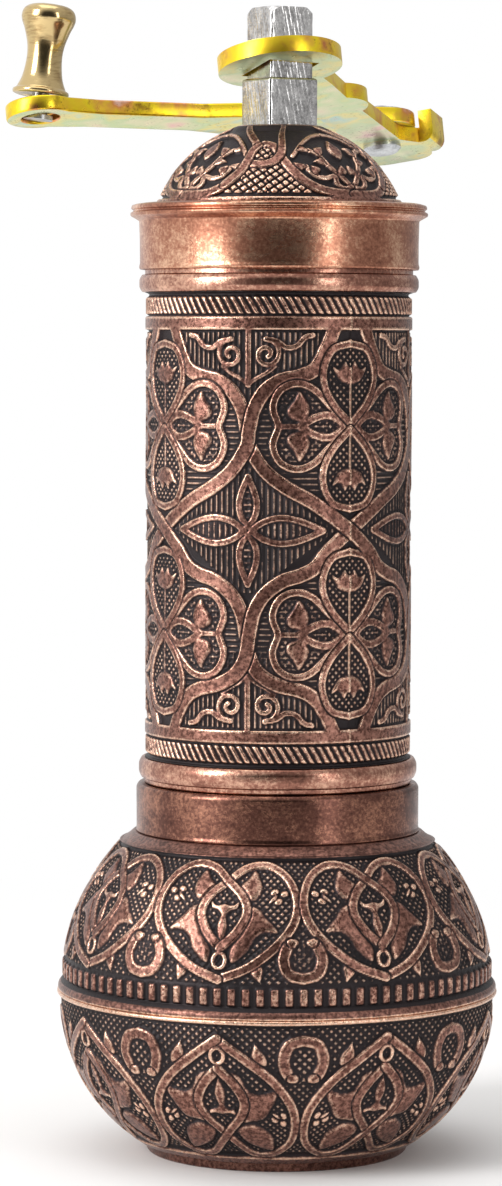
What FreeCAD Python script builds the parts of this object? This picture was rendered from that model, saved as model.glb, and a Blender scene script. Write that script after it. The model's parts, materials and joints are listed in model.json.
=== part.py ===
import FreeCAD, Part
import math
import os

# A Turkish hand mill for coffee, millimetres, +Z up.
# The origin lies on the mill's axis, in the plane of the foot's underside.
# -Y faces the viewer of the photograph and +X lies to the right.
# The bowl stands on its foot, the barrel stands in the bowl's collar and holds the burrs,
# the domed cap closes the barrel, and a folding crank hangs on the spindle's square end.

vec = FreeCAD.Vector
up = vec(0, 0, 1)

# Fits
slip_clearance = 0.10        # radial, cap and collar over the barrel's spigots
running_clearance = 0.05     # radial, round journals and pins
square_clearance = 0.10      # each side, burr on the spindle's lower square
axial_clearance = 0.05       # between faces that turn on each other
weld = 0.02                  # how far two joined lumps of one casting run into each other

# Bowl: a bulb of two castings, pressed together at the seam
foot_radius = 16.3
foot_ring_width = 2.6
foot_height = 1.2
foot_recess = 0.9
foot_boss_radius = 6.0       # turned land in the middle of the foot, level with its ring
bulb_radius = 27.6
bulb_start_radius = 17.2     # where the bulb leaves the foot
lower_bow = 2.6              # how far the lower bulb's arc bows out from its chord
seam_height = 20.3
seam_bead_height = 1.5       # the lower bowl's rounded rim, under the seam
seam_groove = 0.35
reed_height = 2.5            # the reeded band above the seam bead
reed_depth = 0.35
upper_bow = 1.2              # the same for the upper bulb
shoulder_radius = 19.7
shoulder_rise = 18.6         # shoulder above the seam
bowl_wall = 1.7
bowl_floor = 2.2
seam_lip_height = 1.4
seam_lip_wall = 1.0
collar_radius = 17.65
collar_foot_rise = 1.7       # from the shoulder to the collar
collar_height = 5.5
collar_edge = 0.4            # chamfer at the collar's mouth

# Barrel
barrel_radius = 16.6
barrel_bore = 14.4
barrel_gap = 0.7             # shadow gap above the collar
barrel_length = 62.4         # from the lower bead's underside to the upper bead's top
bead_radius = 17.35
lower_bead_height = 2.5
upper_bead_height = 2.2
bead_fillet = 0.9
neck_radius = 16.65
spigot_radius = 15.9
lower_spigot_length = 4.6
burr_seat_bore = 14.8
spigot_chamfer = 0.4

# Cap
cap_gap = 1.0                # shadow gap under the cap
cap_radius = 17.4
cap_band_height = 6.0
flange_radius = 18.5
flange_height = 2.0
dome_base_radius = 15.2
dome_height = 10.2
dome_wall = 1.8
cap_spigot_length = 4.0
cap_spigot_room = 0.4
cap_boss_radius = 7.2
cap_boss_length = 4.5
cap_hole_clearance = 0.25

# Spindle
spindle_turn = 30            # degrees, how the square stands to the viewer
crank_square = 6.1
block_square = 7.0
crank_square_length = 8.7
block_stand = 5.0            # the block's top above the dome
square_chamfer = 0.9
shoulder_chamfer = 0.35
journal_radius = 3.4
burr_square = 4.2
thread_radius = 2.1
thread_tail = 0.7            # thread below the lock nut
thread_chamfer = 0.4
thread_run = 0.6             # thread above the adjusting nut's upper face at rest
clip_groove_depth = 0.5
clip_groove_room = 0.1

# Upper bridge: three arms across the barrel's mouth
upper_bridge_drop = 1.8      # the bridge's top below the upper bead's top
upper_bridge_height = 2.4
bridge_ring_width = 1.6
bridge_arm_width = 3.0
bridge_arm_count = 3
bridge_hub_radius = 6.0
bush_wall = 1.1
bush_flange_radius = 5.6
bush_flange_height = 0.8
thrust_washer_radius = 5.3
thrust_washer_height = 0.6
clip_radius = 4.7
clip_height = 0.7
clip_mouth = 3.6

# Burrs
outer_burr_rise = 2.2        # the ring's lower face above the barrel's lower bead
outer_burr_height = 14.0
fine_zone_height = 5.0
fine_teeth = 30
fine_tooth_depth = 0.5
fine_tip_low = 11.5          # radius of the ring's tooth tips at its lower face
fine_tip_high = 10.4
fine_twist = 9               # degrees over the fine zone
feed_teeth = 12
feed_tip = 10.6
feed_tooth_depth = 0.8
feed_twist = 20
burr_gap = 0.15              # radial, between the tips at rest
cone_overhang = 0.5          # how far the cone stands below the ring
cone_teeth = 8
cone_tooth_depth = 1.3
cone_height = 11.5
cone_top_radius = 6.3
cone_twist = 42
cone_steps = 3
cone_recess_depth = 2.2
cone_recess_radius = 4.3

# Lower bridge, its screws, and the spring under it
lower_bridge_height = 2.5
lower_bridge_width = 6.4
lower_bridge_hub_radius = 5.8
lower_bridge_room = 0.1
screw_circle = 12.6
screw_radius = 0.95
screw_length = 5.0
screw_head_radius = 1.65
screw_head_height = 1.1
screw_slot_width = 0.5
screw_slot_depth = 0.5
spring_washer_radius = 4.2
spring_washer_height = 0.6
spring_wire = 0.6
spring_radius = 3.7
spring_half_turns = 5
spring_end_gap = 0.02

# Adjusting nut and lock nut under the cone
nut_radius = 6.2
nut_height = 3.0
nut_grooves = 12
nut_groove_radius = 0.7
lock_nut_flats = 7.0
lock_nut_height = 2.2

# Folding crank, in its own plane: it hangs on the square, tilted as in the photograph
crank_rise_right = 0.095     # rise of the plate per millimetre towards +X
crank_fall_back = 0.2235     # fall of the plate per millimetre towards +Y
crank_stand = 2.1            # the middle of the hub's thickness above the block's top, on the axis
crank_azimuth = 71.6         # degrees from +X to the line from hub to rivet
plate_thickness = 2.0
hub_hole_clearance = 0.50    # each side, round the crank square
hub_radius = 7.7
rivet_reach = 42.6
plate_half_width = 3.0
neck_half_width = 3.4
neck_reach = 10.5
knuckle_reach = 20.8
knuckle_radius = 4.7
pad_start = 41.2
pad_end = 52.6
pad_half_width = 4.85
pad_corner = 3.2
pad_ramp = 3.0
tab_start = 44.0
tab_length = 5.6
tab_height = 2.3             # above the plate's upper face
tab_thickness = 1.8
tab_room = 0.15
rivet_radius = 1.6
rivet_head_radius = 2.5
rivet_head_height = 0.9
rivet_tail_radius = 2.7
rivet_tail_height = 0.8
fold_washer_radius = 3.6
fold_washer_height = 0.3

# Crank arm, in its own plane, folded back beside the hub
arm_fold = 133.4             # degrees from the hub-to-rivet line to the folded arm
arm_reach = 48.8             # rivet to knob pin
arm_thickness = 2.0
arm_heel_radius = 4.7
arm_flare_half_width = 4.0
arm_flare_reach = 22.0
arm_waist_half_width = 3.05
arm_waist_start = 27.0
arm_waist_end = 41.5
arm_tip_radius = 4.4
pin_hole_radius = 1.85
pin_recess_radius = 2.45
pin_recess_depth = 1.15

# Knob and the pin that it turns on, leaning together in the arm's loose hole
knob_lean_right = 6.0        # degrees from upright towards +X
knob_lean_back = 4.0         # degrees from upright towards +Y
knob_stand_off = 1.15        # knob's base above the arm, measured on the pin
knob_height = 11.7
knob_flange_radius = 3.65
knob_flange_height = 0.9
knob_flange_edge = 0.5
knob_flange_step = 0.5
knob_waist_radius = 2.3
knob_waist_height = 5.0
knob_head_radius = 3.5
knob_head_height = 9.2
knob_crown_radius = 2.1
knob_crown_drop = 0.3        # how far the head's corner is rounded in
pin_radius = 1.1
pin_head_radius = 1.9
pin_head_height = 0.6
pin_reach = 6.5              # how far the pin stands in the knob
pin_bore_room = 0.4

# Heights that follow from the sizes above
seam_bead_bottom = seam_height - seam_bead_height
bead_top = seam_height + seam_bead_height
reed_top = bead_top + reed_height
rim_radius = bulb_radius - seam_groove
reed_radius = rim_radius - reed_depth
shoulder_height = seam_height + shoulder_rise
collar_foot = shoulder_height + collar_foot_rise
collar_top = collar_foot + collar_height
barrel_bottom = collar_top + barrel_gap
barrel_top = barrel_bottom + barrel_length
cap_seat = barrel_top + cap_gap
cap_flange_bottom = cap_seat + cap_band_height
dome_base = cap_flange_bottom + flange_height
dome_top = dome_base + dome_height
block_top = dome_top + block_stand
spindle_top = block_top + crank_square_length
crank_height = block_top + crank_stand
block_half_diagonal = block_square / math.sqrt(2)
bush_radius = journal_radius + running_clearance + bush_wall
upper_bridge_top = barrel_top - upper_bridge_drop
upper_bridge_bottom = upper_bridge_top - upper_bridge_height
thrust_washer_bottom = upper_bridge_top + bush_flange_height + axial_clearance
block_bottom = thrust_washer_bottom + thrust_washer_height
clip_top = upper_bridge_bottom - axial_clearance
outer_burr_bottom = barrel_bottom + outer_burr_rise
outer_burr_top = outer_burr_bottom + outer_burr_height
fine_zone_top = outer_burr_bottom + fine_zone_height
cone_bottom = outer_burr_bottom - cone_overhang
cone_top = cone_bottom + cone_height
lower_bridge_top = outer_burr_top + lower_bridge_height
spring_shoulder = outer_burr_top - axial_clearance
spring_top = spring_shoulder - spring_washer_height
spring_bottom = cone_top - cone_recess_depth
nut_bottom = cone_bottom - nut_height
lock_nut_bottom = nut_bottom - lock_nut_height
spindle_end = lock_nut_bottom - thread_tail

# The crank's frame: its plane's normal, then the hub-to-rivet line as its X axis
crank_normal = vec(-crank_rise_right, crank_fall_back, 1).normalize()
crank_origin = vec(0, 0, crank_height) - crank_normal * (plate_thickness / 2)
crank_frame = FreeCAD.Placement(crank_origin, FreeCAD.Rotation(up, crank_normal)).multiply(
    FreeCAD.Placement(vec(0, 0, 0), FreeCAD.Rotation(up, crank_azimuth)))
arm_frame = crank_frame.multiply(
    FreeCAD.Placement(vec(rivet_reach, 0, plate_thickness), FreeCAD.Rotation(up, arm_fold)))
knob_drift_right = math.tan(math.radians(knob_lean_right))
knob_drift_back = math.tan(math.radians(knob_lean_back))
knob_axis = vec(knob_drift_right, knob_drift_back, 1).normalize()
pin_foot = arm_frame.multVec(vec(arm_reach, 0, arm_thickness))
knob_frame = FreeCAD.Placement(pin_foot, FreeCAD.Rotation(up, knob_axis))


def line(a, b):
    return Part.makeLine(vec(a[0], 0, a[1]), vec(b[0], 0, b[1]))


def arc(a, b, c):
    return Part.Arc(vec(a[0], 0, a[1]), vec(b[0], 0, b[1]), vec(c[0], 0, c[1])).toShape()


def bowed(a, b, bow):
    # an arc from a to b that bows outwards by bow from its chord, for outlines drawn from the bottom up
    chord = math.hypot(b[0] - a[0], b[1] - a[1])
    middle_x = (a[0] + b[0]) / 2 + bow * (b[1] - a[1]) / chord
    middle_z = (a[1] + b[1]) / 2 - bow * (b[0] - a[0]) / chord
    return arc(a, (middle_x, middle_z), b)


def revolve(edges):
    # turns a closed outline of edges in the XZ plane about the Z axis
    face = Part.Face(Part.Wire(edges))
    return face.revolve(vec(0, 0, 0), up, 360)


def turned(points):
    # a turned piece from (radius, height) corners
    pairs = zip(points, points[1:] + points[:1])
    return revolve([line(a, b) for a, b in pairs])


def cylinder(radius, bottom, top):
    return Part.makeCylinder(radius, top - bottom, vec(0, 0, bottom))


def tube(outer, inner, bottom, top):
    return cylinder(outer, bottom, top).cut(cylinder(inner, bottom, top))


def square_bar(side, bottom, top):
    bar = Part.makeBox(side, side, top - bottom, vec(-side / 2, -side / 2, bottom))
    return bar.rotate(vec(0, 0, 0), up, spindle_turn)


def slab(x0, x1, y0, y1, z0, z1):
    return Part.makeBox(x1 - x0, y1 - y0, z1 - z0, vec(x0, y0, z0))


def star_wire(teeth, tip, root, height, turn):
    # a closed saw-tooth outline with its points at the radius tip and its roots at the radius root
    points = []
    for i in range(teeth):
        for share, radius in ((0.0, tip), (0.62, root)):
            angle = math.radians(turn) + 2 * math.pi * (i + share) / teeth
            points.append(vec(radius * math.cos(angle), radius * math.sin(angle), height))
    return Part.makePolygon(points + points[:1])


def toothed_cone(teeth, levels):
    # levels: (height, tip radius, root radius, turn) from the bottom up
    wires = [star_wire(teeth, tip, root, height, turn) for height, tip, root, turn in levels]
    return Part.makeLoft(wires, True, True)


def one_solid(shape):
    # a cleaned single solid
    return shape.removeSplitter().Solids[0]


def lower_bowl():
    # a cast cup from the foot up to its rounded rim at the seam
    outer = [
        line((0, 0), (foot_radius, 0)),
        line((foot_radius, 0), (foot_radius, foot_height)),
        line((foot_radius, foot_height), (bulb_start_radius, foot_height)),
        bowed((bulb_start_radius, foot_height), (rim_radius, seam_bead_bottom), lower_bow),
        arc((rim_radius, seam_bead_bottom), (bulb_radius, (seam_bead_bottom + seam_height) / 2),
            (rim_radius, seam_height)),
        line((rim_radius, seam_height), (0, seam_height)),
        line((0, seam_height), (0, 0)),
    ]
    floor = foot_height + bowl_floor
    floor_radius = bulb_start_radius - bowl_wall
    inner_rim = rim_radius - bowl_wall
    inner = [
        line((0, floor), (floor_radius, floor)),
        bowed((floor_radius, floor), (inner_rim, seam_bead_bottom), lower_bow),
        line((inner_rim, seam_bead_bottom), (inner_rim, seam_height + 1)),
        line((inner_rim, seam_height + 1), (0, seam_height + 1)),
        line((0, seam_height + 1), (0, floor)),
    ]
    recess = tube(foot_radius - foot_ring_width, foot_boss_radius, -1, foot_recess)
    return one_solid(revolve(outer).cut(revolve(inner)).cut(recess))


def upper_bowl():
    # the upper half of the bulb with its reeded band, and the collar that takes the barrel
    lip_radius = rim_radius - bowl_wall
    lip_inner = lip_radius - seam_lip_wall
    mouth = spigot_radius + slip_clearance
    ceiling = shoulder_height - bowl_wall
    outside = [
        line((0, seam_height), (rim_radius, seam_height)),
        line((rim_radius, seam_height), (rim_radius, bead_top)),
        line((rim_radius, bead_top), (reed_radius, bead_top)),
        line((reed_radius, bead_top), (reed_radius, reed_top)),
        bowed((reed_radius, reed_top), (shoulder_radius, shoulder_height), upper_bow),
        line((shoulder_radius, shoulder_height), (collar_radius, collar_foot)),
        line((collar_radius, collar_foot), (collar_radius, collar_top)),
        line((collar_radius, collar_top), (0, collar_top)),
        line((0, collar_top), (0, seam_height)),
    ]
    inside = [
        line((0, seam_height), (lip_inner, seam_height)),
        line((lip_inner, seam_height), (lip_inner, seam_height + seam_lip_height)),
        bowed((lip_inner, seam_height + seam_lip_height), (shoulder_radius - bowl_wall, ceiling), upper_bow),
        line((shoulder_radius - bowl_wall, ceiling), (0, ceiling)),
        line((0, ceiling), (0, seam_height)),
    ]
    lip = tube(lip_radius, lip_inner, seam_height - seam_lip_height, seam_height + weld)
    bore = turned([
        (0, ceiling - weld), (mouth, ceiling - weld), (mouth, collar_top - collar_edge),
        (mouth + collar_edge, collar_top), (mouth + collar_edge, collar_top + 1), (0, collar_top + 1)])
    return one_solid(revolve(outside).cut(revolve(inside)).fuse(lip).cut(bore))


def bead(bottom, top):
    # a rounded ring round the barrel
    ring = cylinder(bead_radius, bottom, top)
    return ring.makeFillet(bead_fillet, [e for e in ring.Edges if len(e.Vertexes) == 1])


def barrel():
    # the cast barrel with a bead, a neck and a spigot at each end
    spigot_bottom = collar_top - lower_spigot_length
    spigot_top = cap_seat + cap_spigot_length
    body = cylinder(barrel_radius, barrel_bottom + weld, barrel_top - weld)
    body = body.fuse(bead(barrel_bottom, barrel_bottom + lower_bead_height))
    body = body.fuse(bead(barrel_top - upper_bead_height, barrel_top))
    body = body.fuse(cylinder(neck_radius, collar_top, cap_seat))
    body = body.fuse(turned([
        (0, spigot_bottom), (spigot_radius - spigot_chamfer, spigot_bottom),
        (spigot_radius, spigot_bottom + spigot_chamfer), (spigot_radius, spigot_top - spigot_chamfer),
        (spigot_radius - spigot_chamfer, spigot_top), (0, spigot_top)]))
    body = body.cut(cylinder(barrel_bore, spigot_bottom - 1, spigot_top + 1))
    body = body.cut(cylinder(burr_seat_bore, spigot_bottom - 1, outer_burr_top))
    return one_solid(body)


def cap():
    # band, rolled flange and dome in one casting, bored for the spigot and for the spindle's square
    bore = spigot_radius + slip_clearance
    bore_top = cap_seat + cap_spigot_length + cap_spigot_room
    sphere = (dome_base_radius ** 2 + dome_height ** 2) / (2 * dome_height)
    centre = dome_top - sphere
    hole = block_half_diagonal + cap_hole_clearance
    inner_sphere = sphere - dome_wall
    cavity_radius = math.sqrt(inner_sphere ** 2 - (bore_top - centre) ** 2)

    def on_dome(radius, ball):
        return (radius, centre + math.sqrt(ball ** 2 - radius ** 2))

    outside = [
        line((hole, cap_seat), (cap_radius, cap_seat)),
        line((cap_radius, cap_seat), (cap_radius, cap_flange_bottom)),
        arc((cap_radius, cap_flange_bottom), (flange_radius, (cap_flange_bottom + dome_base) / 2),
            (cap_radius, dome_base)),
        line((cap_radius, dome_base), (dome_base_radius, dome_base)),
        arc((dome_base_radius, dome_base), on_dome((dome_base_radius + hole) / 2, sphere),
            on_dome(hole, sphere)),
        line(on_dome(hole, sphere), (hole, cap_seat)),
    ]
    cavity = [
        line((0, cap_seat - 1), (bore, cap_seat - 1)),
        line((bore, cap_seat - 1), (bore, bore_top)),
        line((bore, bore_top), (cavity_radius, bore_top)),
        arc((cavity_radius, bore_top), on_dome(cavity_radius / 2, inner_sphere), (0, centre + inner_sphere)),
        line((0, centre + inner_sphere), (0, cap_seat - 1)),
    ]
    boss = tube(cap_boss_radius, hole, dome_top - dome_wall - cap_boss_length,
                on_dome(cap_boss_radius, inner_sphere)[1] + weld)
    return one_solid(revolve(outside).cut(revolve(cavity)).fuse(boss))


def spindle():
    # square ends turned with conical chamfers, round journals, a lower square and a threaded end
    crank_end = square_bar(crank_square, block_top - 1, spindle_top).common(turned([
        (0, block_top - 1), (crank_square, block_top - 1), (crank_square, spindle_top - crank_square / 2),
        (crank_square / 2 - square_chamfer / 2, spindle_top), (0, spindle_top)]))
    block = square_bar(block_square, block_bottom, block_top).common(turned([
        (0, block_bottom), (block_half_diagonal, block_bottom),
        (block_half_diagonal, block_top - shoulder_chamfer),
        (block_half_diagonal - shoulder_chamfer, block_top), (0, block_top)]))
    shaft = cylinder(journal_radius, spring_shoulder, block_bottom + 1)
    seat = square_bar(burr_square, cone_bottom + thread_run, spring_shoulder + 1)
    thread = turned([(0, spindle_end), (thread_radius - thread_chamfer, spindle_end),
                     (thread_radius, spindle_end + thread_chamfer), (thread_radius, cone_bottom + 1),
                     (0, cone_bottom + 1)])
    groove = tube(journal_radius + 1, journal_radius - clip_groove_depth,
                  clip_top - clip_height - clip_groove_room, clip_top)
    body = crank_end.fuse(block).fuse(shaft).fuse(seat).fuse(thread).cut(groove)
    return one_solid(body)


def upper_bridge():
    # a pressed-in ring with three arms to a hub, so that beans pour in between the arms
    ring = tube(barrel_bore, barrel_bore - bridge_ring_width, upper_bridge_bottom, upper_bridge_top)
    hub = cylinder(bridge_hub_radius, upper_bridge_bottom, upper_bridge_top)
    body = ring.fuse(hub)
    reach = barrel_bore - bridge_ring_width / 2
    for i in range(bridge_arm_count):
        arm = slab(0, reach, -bridge_arm_width / 2, bridge_arm_width / 2,
                   upper_bridge_bottom, upper_bridge_top)
        body = body.fuse(arm.rotate(vec(0, 0, 0), up, 180 + 360 * i / bridge_arm_count))
    return one_solid(body.cut(cylinder(bush_radius, upper_bridge_bottom, upper_bridge_top)))


def upper_bush():
    bore = journal_radius + running_clearance
    sleeve = tube(bush_radius, bore, upper_bridge_bottom, upper_bridge_top + weld)
    flange = tube(bush_flange_radius, bore, upper_bridge_top, upper_bridge_top + bush_flange_height)
    return one_solid(sleeve.fuse(flange))


def thrust_washer():
    return tube(thrust_washer_radius, journal_radius + running_clearance, thrust_washer_bottom, block_bottom)


def retaining_clip():
    # an open ring that snaps into the spindle's groove
    inner = journal_radius - clip_groove_depth + running_clearance
    ring = tube(clip_radius, inner, clip_top - clip_height, clip_top)
    mouth = slab(0, clip_radius + 1, -clip_mouth / 2, clip_mouth / 2,
                 clip_top - clip_height - 1, clip_top + 1)
    return one_solid(ring.cut(mouth))


def outer_burr():
    # the toothed ring: a feed zone with deep teeth over a fine zone that widens downwards
    body = cylinder(burr_seat_bore, outer_burr_bottom, outer_burr_top)
    slope = (fine_tip_high - fine_tip_low) / fine_zone_height
    low = outer_burr_bottom - 1
    high = outer_burr_top + 1
    fine = toothed_cone(fine_teeth, [
        (low, fine_tip_low - slope, fine_tip_low - slope + fine_tooth_depth, -fine_twist / fine_zone_height),
        (fine_zone_top + weld, fine_tip_high, fine_tip_high + fine_tooth_depth, fine_twist)])
    feed = toothed_cone(feed_teeth, [
        (fine_zone_top, feed_tip, feed_tip + feed_tooth_depth, 0),
        (high, feed_tip, feed_tip + feed_tooth_depth, -feed_twist)])
    body = body.cut(fine).cut(feed)
    for side in (1, -1):
        hole = cylinder(screw_radius + running_clearance, outer_burr_top - screw_length, outer_burr_top + 1)
        body = body.cut(hole.translate(vec(0, side * screw_circle, 0)))
    return one_solid(body)


def inner_burr():
    # the cone: helical teeth that draw the beans in, over a fine-toothed skirt
    slope = (fine_tip_high - fine_tip_low) / fine_zone_height
    skirt_low = fine_tip_low - slope * cone_overhang - burr_gap
    skirt_high = fine_tip_high - burr_gap
    skirt = toothed_cone(fine_teeth, [
        (cone_bottom, skirt_low, skirt_low - fine_tooth_depth, 0),
        (fine_zone_top, skirt_high, skirt_high - fine_tooth_depth, -fine_twist)])
    root = skirt_high - fine_tooth_depth
    levels = []
    for i in range(cone_steps + 1):
        share = i / cone_steps
        tip = root + (cone_top_radius - root) * share
        height = fine_zone_top - weld + (cone_top - fine_zone_top + weld) * share
        levels.append((height, tip, tip - cone_tooth_depth, cone_twist * share))
    body = skirt.fuse(toothed_cone(cone_teeth, levels))
    body = body.cut(cylinder(cone_recess_radius, spring_bottom, cone_top + 1))
    body = body.cut(square_bar(burr_square + 2 * square_clearance, cone_bottom - 1, cone_top))
    return one_solid(body)


def lower_bridge():
    # a flat bar across the ring burr, with a boss for the lower bush
    bar = slab(-lower_bridge_width / 2, lower_bridge_width / 2, -barrel_bore, barrel_bore,
               outer_burr_top, lower_bridge_top)
    body = bar.fuse(cylinder(lower_bridge_hub_radius, outer_burr_top, lower_bridge_top))
    body = body.common(cylinder(barrel_bore - lower_bridge_room, outer_burr_top, lower_bridge_top))
    body = body.cut(cylinder(bush_radius, outer_burr_top, lower_bridge_top))
    for side in (1, -1):
        hole = cylinder(screw_radius + running_clearance, outer_burr_top, lower_bridge_top)
        body = body.cut(hole.translate(vec(0, side * screw_circle, 0)))
    return one_solid(body)


def lower_bush():
    bore = journal_radius + running_clearance
    sleeve = tube(bush_radius, bore, outer_burr_top, lower_bridge_top + weld)
    flange = tube(bush_flange_radius, bore, lower_bridge_top, lower_bridge_top + bush_flange_height)
    return one_solid(sleeve.fuse(flange))


def bridge_screws():
    # two slotted screws that hold the lower bridge down on the ring burr
    screws = []
    for side in (1, -1):
        head_bottom = lower_bridge_top
        head_top = head_bottom + screw_head_height
        shank = cylinder(screw_radius, head_bottom - screw_length + 1, head_bottom + weld)
        screw = shank.fuse(cylinder(screw_head_radius, head_bottom, head_top))
        slot = slab(-screw_head_radius, screw_head_radius, -screw_slot_width / 2, screw_slot_width / 2,
                    head_top - screw_slot_depth, head_top + 1)
        screws.append(one_solid(screw.cut(slot)).translate(vec(0, side * screw_circle, 0)))
    return Part.makeCompound(screws)


def spring_washer():
    hole = burr_square / math.sqrt(2) + running_clearance
    return tube(spring_washer_radius, hole, spring_top, spring_shoulder)


def burr_spring():
    # a short, stiff compression spring: half turns of round wire, each in a plane that tilts upwards,
    # so that every joint runs square through the XZ plane
    low = spring_bottom + spring_wire / 2 + spring_end_gap
    high = spring_top - spring_wire / 2 - spring_end_gap
    rise = (high - low) / spring_half_turns
    body = None
    for i in range(spring_half_turns):
        side = spring_radius * (-1) ** i
        start = vec(side, 0, low + i * rise)
        middle = vec(0, 0, low + (i + 0.5) * rise)
        axis = vec(rise * (-1) ** i, 0, 2 * spring_radius)
        section = Part.Face(Part.Wire(Part.makeCircle(spring_wire / 2, start, vec(0, 1, 0))))
        half = section.revolve(middle, axis, 180)
        body = body.fuse(half) if body else half
    return one_solid(body)


def adjusting_nut():
    # a grooved round nut that pushes the cone up against the spring
    body = tube(nut_radius, thread_radius + running_clearance, nut_bottom, cone_bottom)
    for i in range(nut_grooves):
        groove = cylinder(nut_groove_radius, nut_bottom - 1, cone_bottom + 1)
        groove.translate(vec(nut_radius + nut_groove_radius / 3, 0, 0))
        body = body.cut(groove.rotate(vec(0, 0, 0), up, 360 * i / nut_grooves))
    return one_solid(body)


def lock_nut():
    # a hexagon nut jammed against the adjusting nut
    corner = lock_nut_flats / math.sqrt(3)
    angles = [math.radians(60 * i) for i in range(7)]
    points = [vec(corner * math.cos(a), corner * math.sin(a), lock_nut_bottom) for a in angles]
    hexagon = Part.Face(Part.makePolygon(points)).extrude(vec(0, 0, lock_nut_height))
    return one_solid(hexagon.cut(cylinder(thread_radius + running_clearance, lock_nut_bottom, nut_bottom)))


def hub_plate():
    # the stamped plate: hub ring with a square hole, scalloped bar, pad under the rivet and upturned stop tab
    thick = plate_thickness
    neck = Part.Face(Part.makePolygon([
        vec(0, -neck_half_width, 0), vec(neck_reach, -neck_half_width, 0),
        vec(knuckle_reach, -plate_half_width, 0), vec(knuckle_reach, plate_half_width, 0),
        vec(neck_reach, neck_half_width, 0), vec(0, neck_half_width, 0), vec(0, -neck_half_width, 0)]))
    body = cylinder(hub_radius, 0, thick).fuse(neck.extrude(vec(0, 0, thick)))
    body = body.fuse(slab(knuckle_reach, pad_start, -plate_half_width, plate_half_width, 0, thick))
    body = body.fuse(cylinder(knuckle_radius, 0, thick).translate(vec(knuckle_reach, 0, 0)))
    ramp = Part.Face(Part.makePolygon([
        vec(pad_start - weld, -plate_half_width, 0), vec(pad_start + pad_ramp, -pad_half_width, 0),
        vec(pad_start + pad_ramp, pad_half_width, 0), vec(pad_start - weld, plate_half_width, 0),
        vec(pad_start - weld, -plate_half_width, 0)]))
    body = body.fuse(ramp.extrude(vec(0, 0, thick)))
    pad = slab(pad_start + pad_ramp - weld, pad_end, -pad_half_width, pad_half_width, 0, thick)
    far_edges = [
        e for e in pad.Edges
        if abs(e.CenterOfMass.x - pad_end) < weld / 2 and abs(e.CenterOfMass.z - thick / 2) < weld / 2]
    body = body.fuse(pad.makeFillet(pad_corner, far_edges))
    tab_inner = -pad_half_width - tab_room
    tab_end = tab_start + tab_length
    tab = slab(tab_start, tab_end, tab_inner - tab_thickness, tab_inner + weld, 0, thick + tab_height)
    tab = tab.fuse(slab(tab_start, tab_end, tab_inner, -pad_half_width + weld, 0, thick))
    outer_low = [e for e in tab.Edges if abs(e.CenterOfMass.y - (tab_inner - tab_thickness)) < weld / 2
                 and abs(e.CenterOfMass.z) < weld / 2]
    body = body.fuse(tab.makeFillet(tab_thickness * 0.8, outer_low))
    side = crank_square + 2 * hub_hole_clearance
    hole = slab(-side / 2, side / 2, -side / 2, side / 2, -1, thick + 1)
    body = body.cut(hole.rotate(vec(0, 0, 0), up, spindle_turn - crank_azimuth))
    rivet_hole = cylinder(rivet_radius + running_clearance, -1, thick + 1)
    body = one_solid(body.cut(rivet_hole.translate(vec(rivet_reach, 0, 0))))
    body.Placement = crank_frame
    return body


def fold_rivet():
    # headed under the plate and spread over a washer on top of the arm
    shank_top = plate_thickness + arm_thickness + fold_washer_height + 2 * axial_clearance
    shank = cylinder(rivet_radius, -weld, shank_top + weld)
    head = turned([(0, -rivet_head_height), (rivet_head_radius - rivet_head_height / 2, -rivet_head_height),
                   (rivet_head_radius, -rivet_head_height / 2), (rivet_head_radius, 0), (0, 0)])
    tail = turned([(0, shank_top), (rivet_tail_radius, shank_top),
                   (rivet_tail_radius, shank_top + rivet_tail_height / 3),
                   (rivet_tail_radius / 2, shank_top + rivet_tail_height),
                   (0, shank_top + rivet_tail_height)])
    body = one_solid(shank.fuse(head).fuse(tail))
    body.Placement = crank_frame.multiply(FreeCAD.Placement(vec(rivet_reach, 0, 0), FreeCAD.Rotation()))
    return body


def fold_washer():
    bottom = plate_thickness + arm_thickness + 2 * axial_clearance
    body = tube(fold_washer_radius, rivet_radius + running_clearance, bottom, bottom + fold_washer_height)
    body.Placement = crank_frame.multiply(FreeCAD.Placement(vec(rivet_reach, 0, 0), FreeCAD.Rotation()))
    return body


def crank_arm():
    # the stamped arm: heel on the rivet, flare, narrow waist and round tip, seen from above
    low = axial_clearance
    high = axial_clearance + arm_thickness
    outline = [
        (0, arm_heel_radius), (arm_flare_reach, arm_flare_half_width),
        (arm_waist_start, arm_waist_half_width), (arm_waist_end, arm_waist_half_width),
        (arm_reach, arm_tip_radius * 0.9)]
    points = [vec(x, y, low) for x, y in outline] + [vec(x, -y, low) for x, y in reversed(outline)]
    body = Part.Face(Part.makePolygon(points + points[:1])).extrude(vec(0, 0, arm_thickness))
    body = body.fuse(cylinder(arm_heel_radius, low, high))
    body = body.fuse(cylinder(arm_tip_radius, low, high).translate(vec(arm_reach, 0, 0)))
    body = body.cut(cylinder(rivet_radius + running_clearance, low - 1, high + 1))
    body = body.cut(cylinder(pin_hole_radius, low - 1, high + 1).translate(vec(arm_reach, 0, 0)))
    recess = cylinder(pin_recess_radius, low - 1, low + pin_recess_depth)
    body = one_solid(body.cut(recess.translate(vec(arm_reach, 0, 0))))
    body.Placement = arm_frame
    return body


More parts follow.
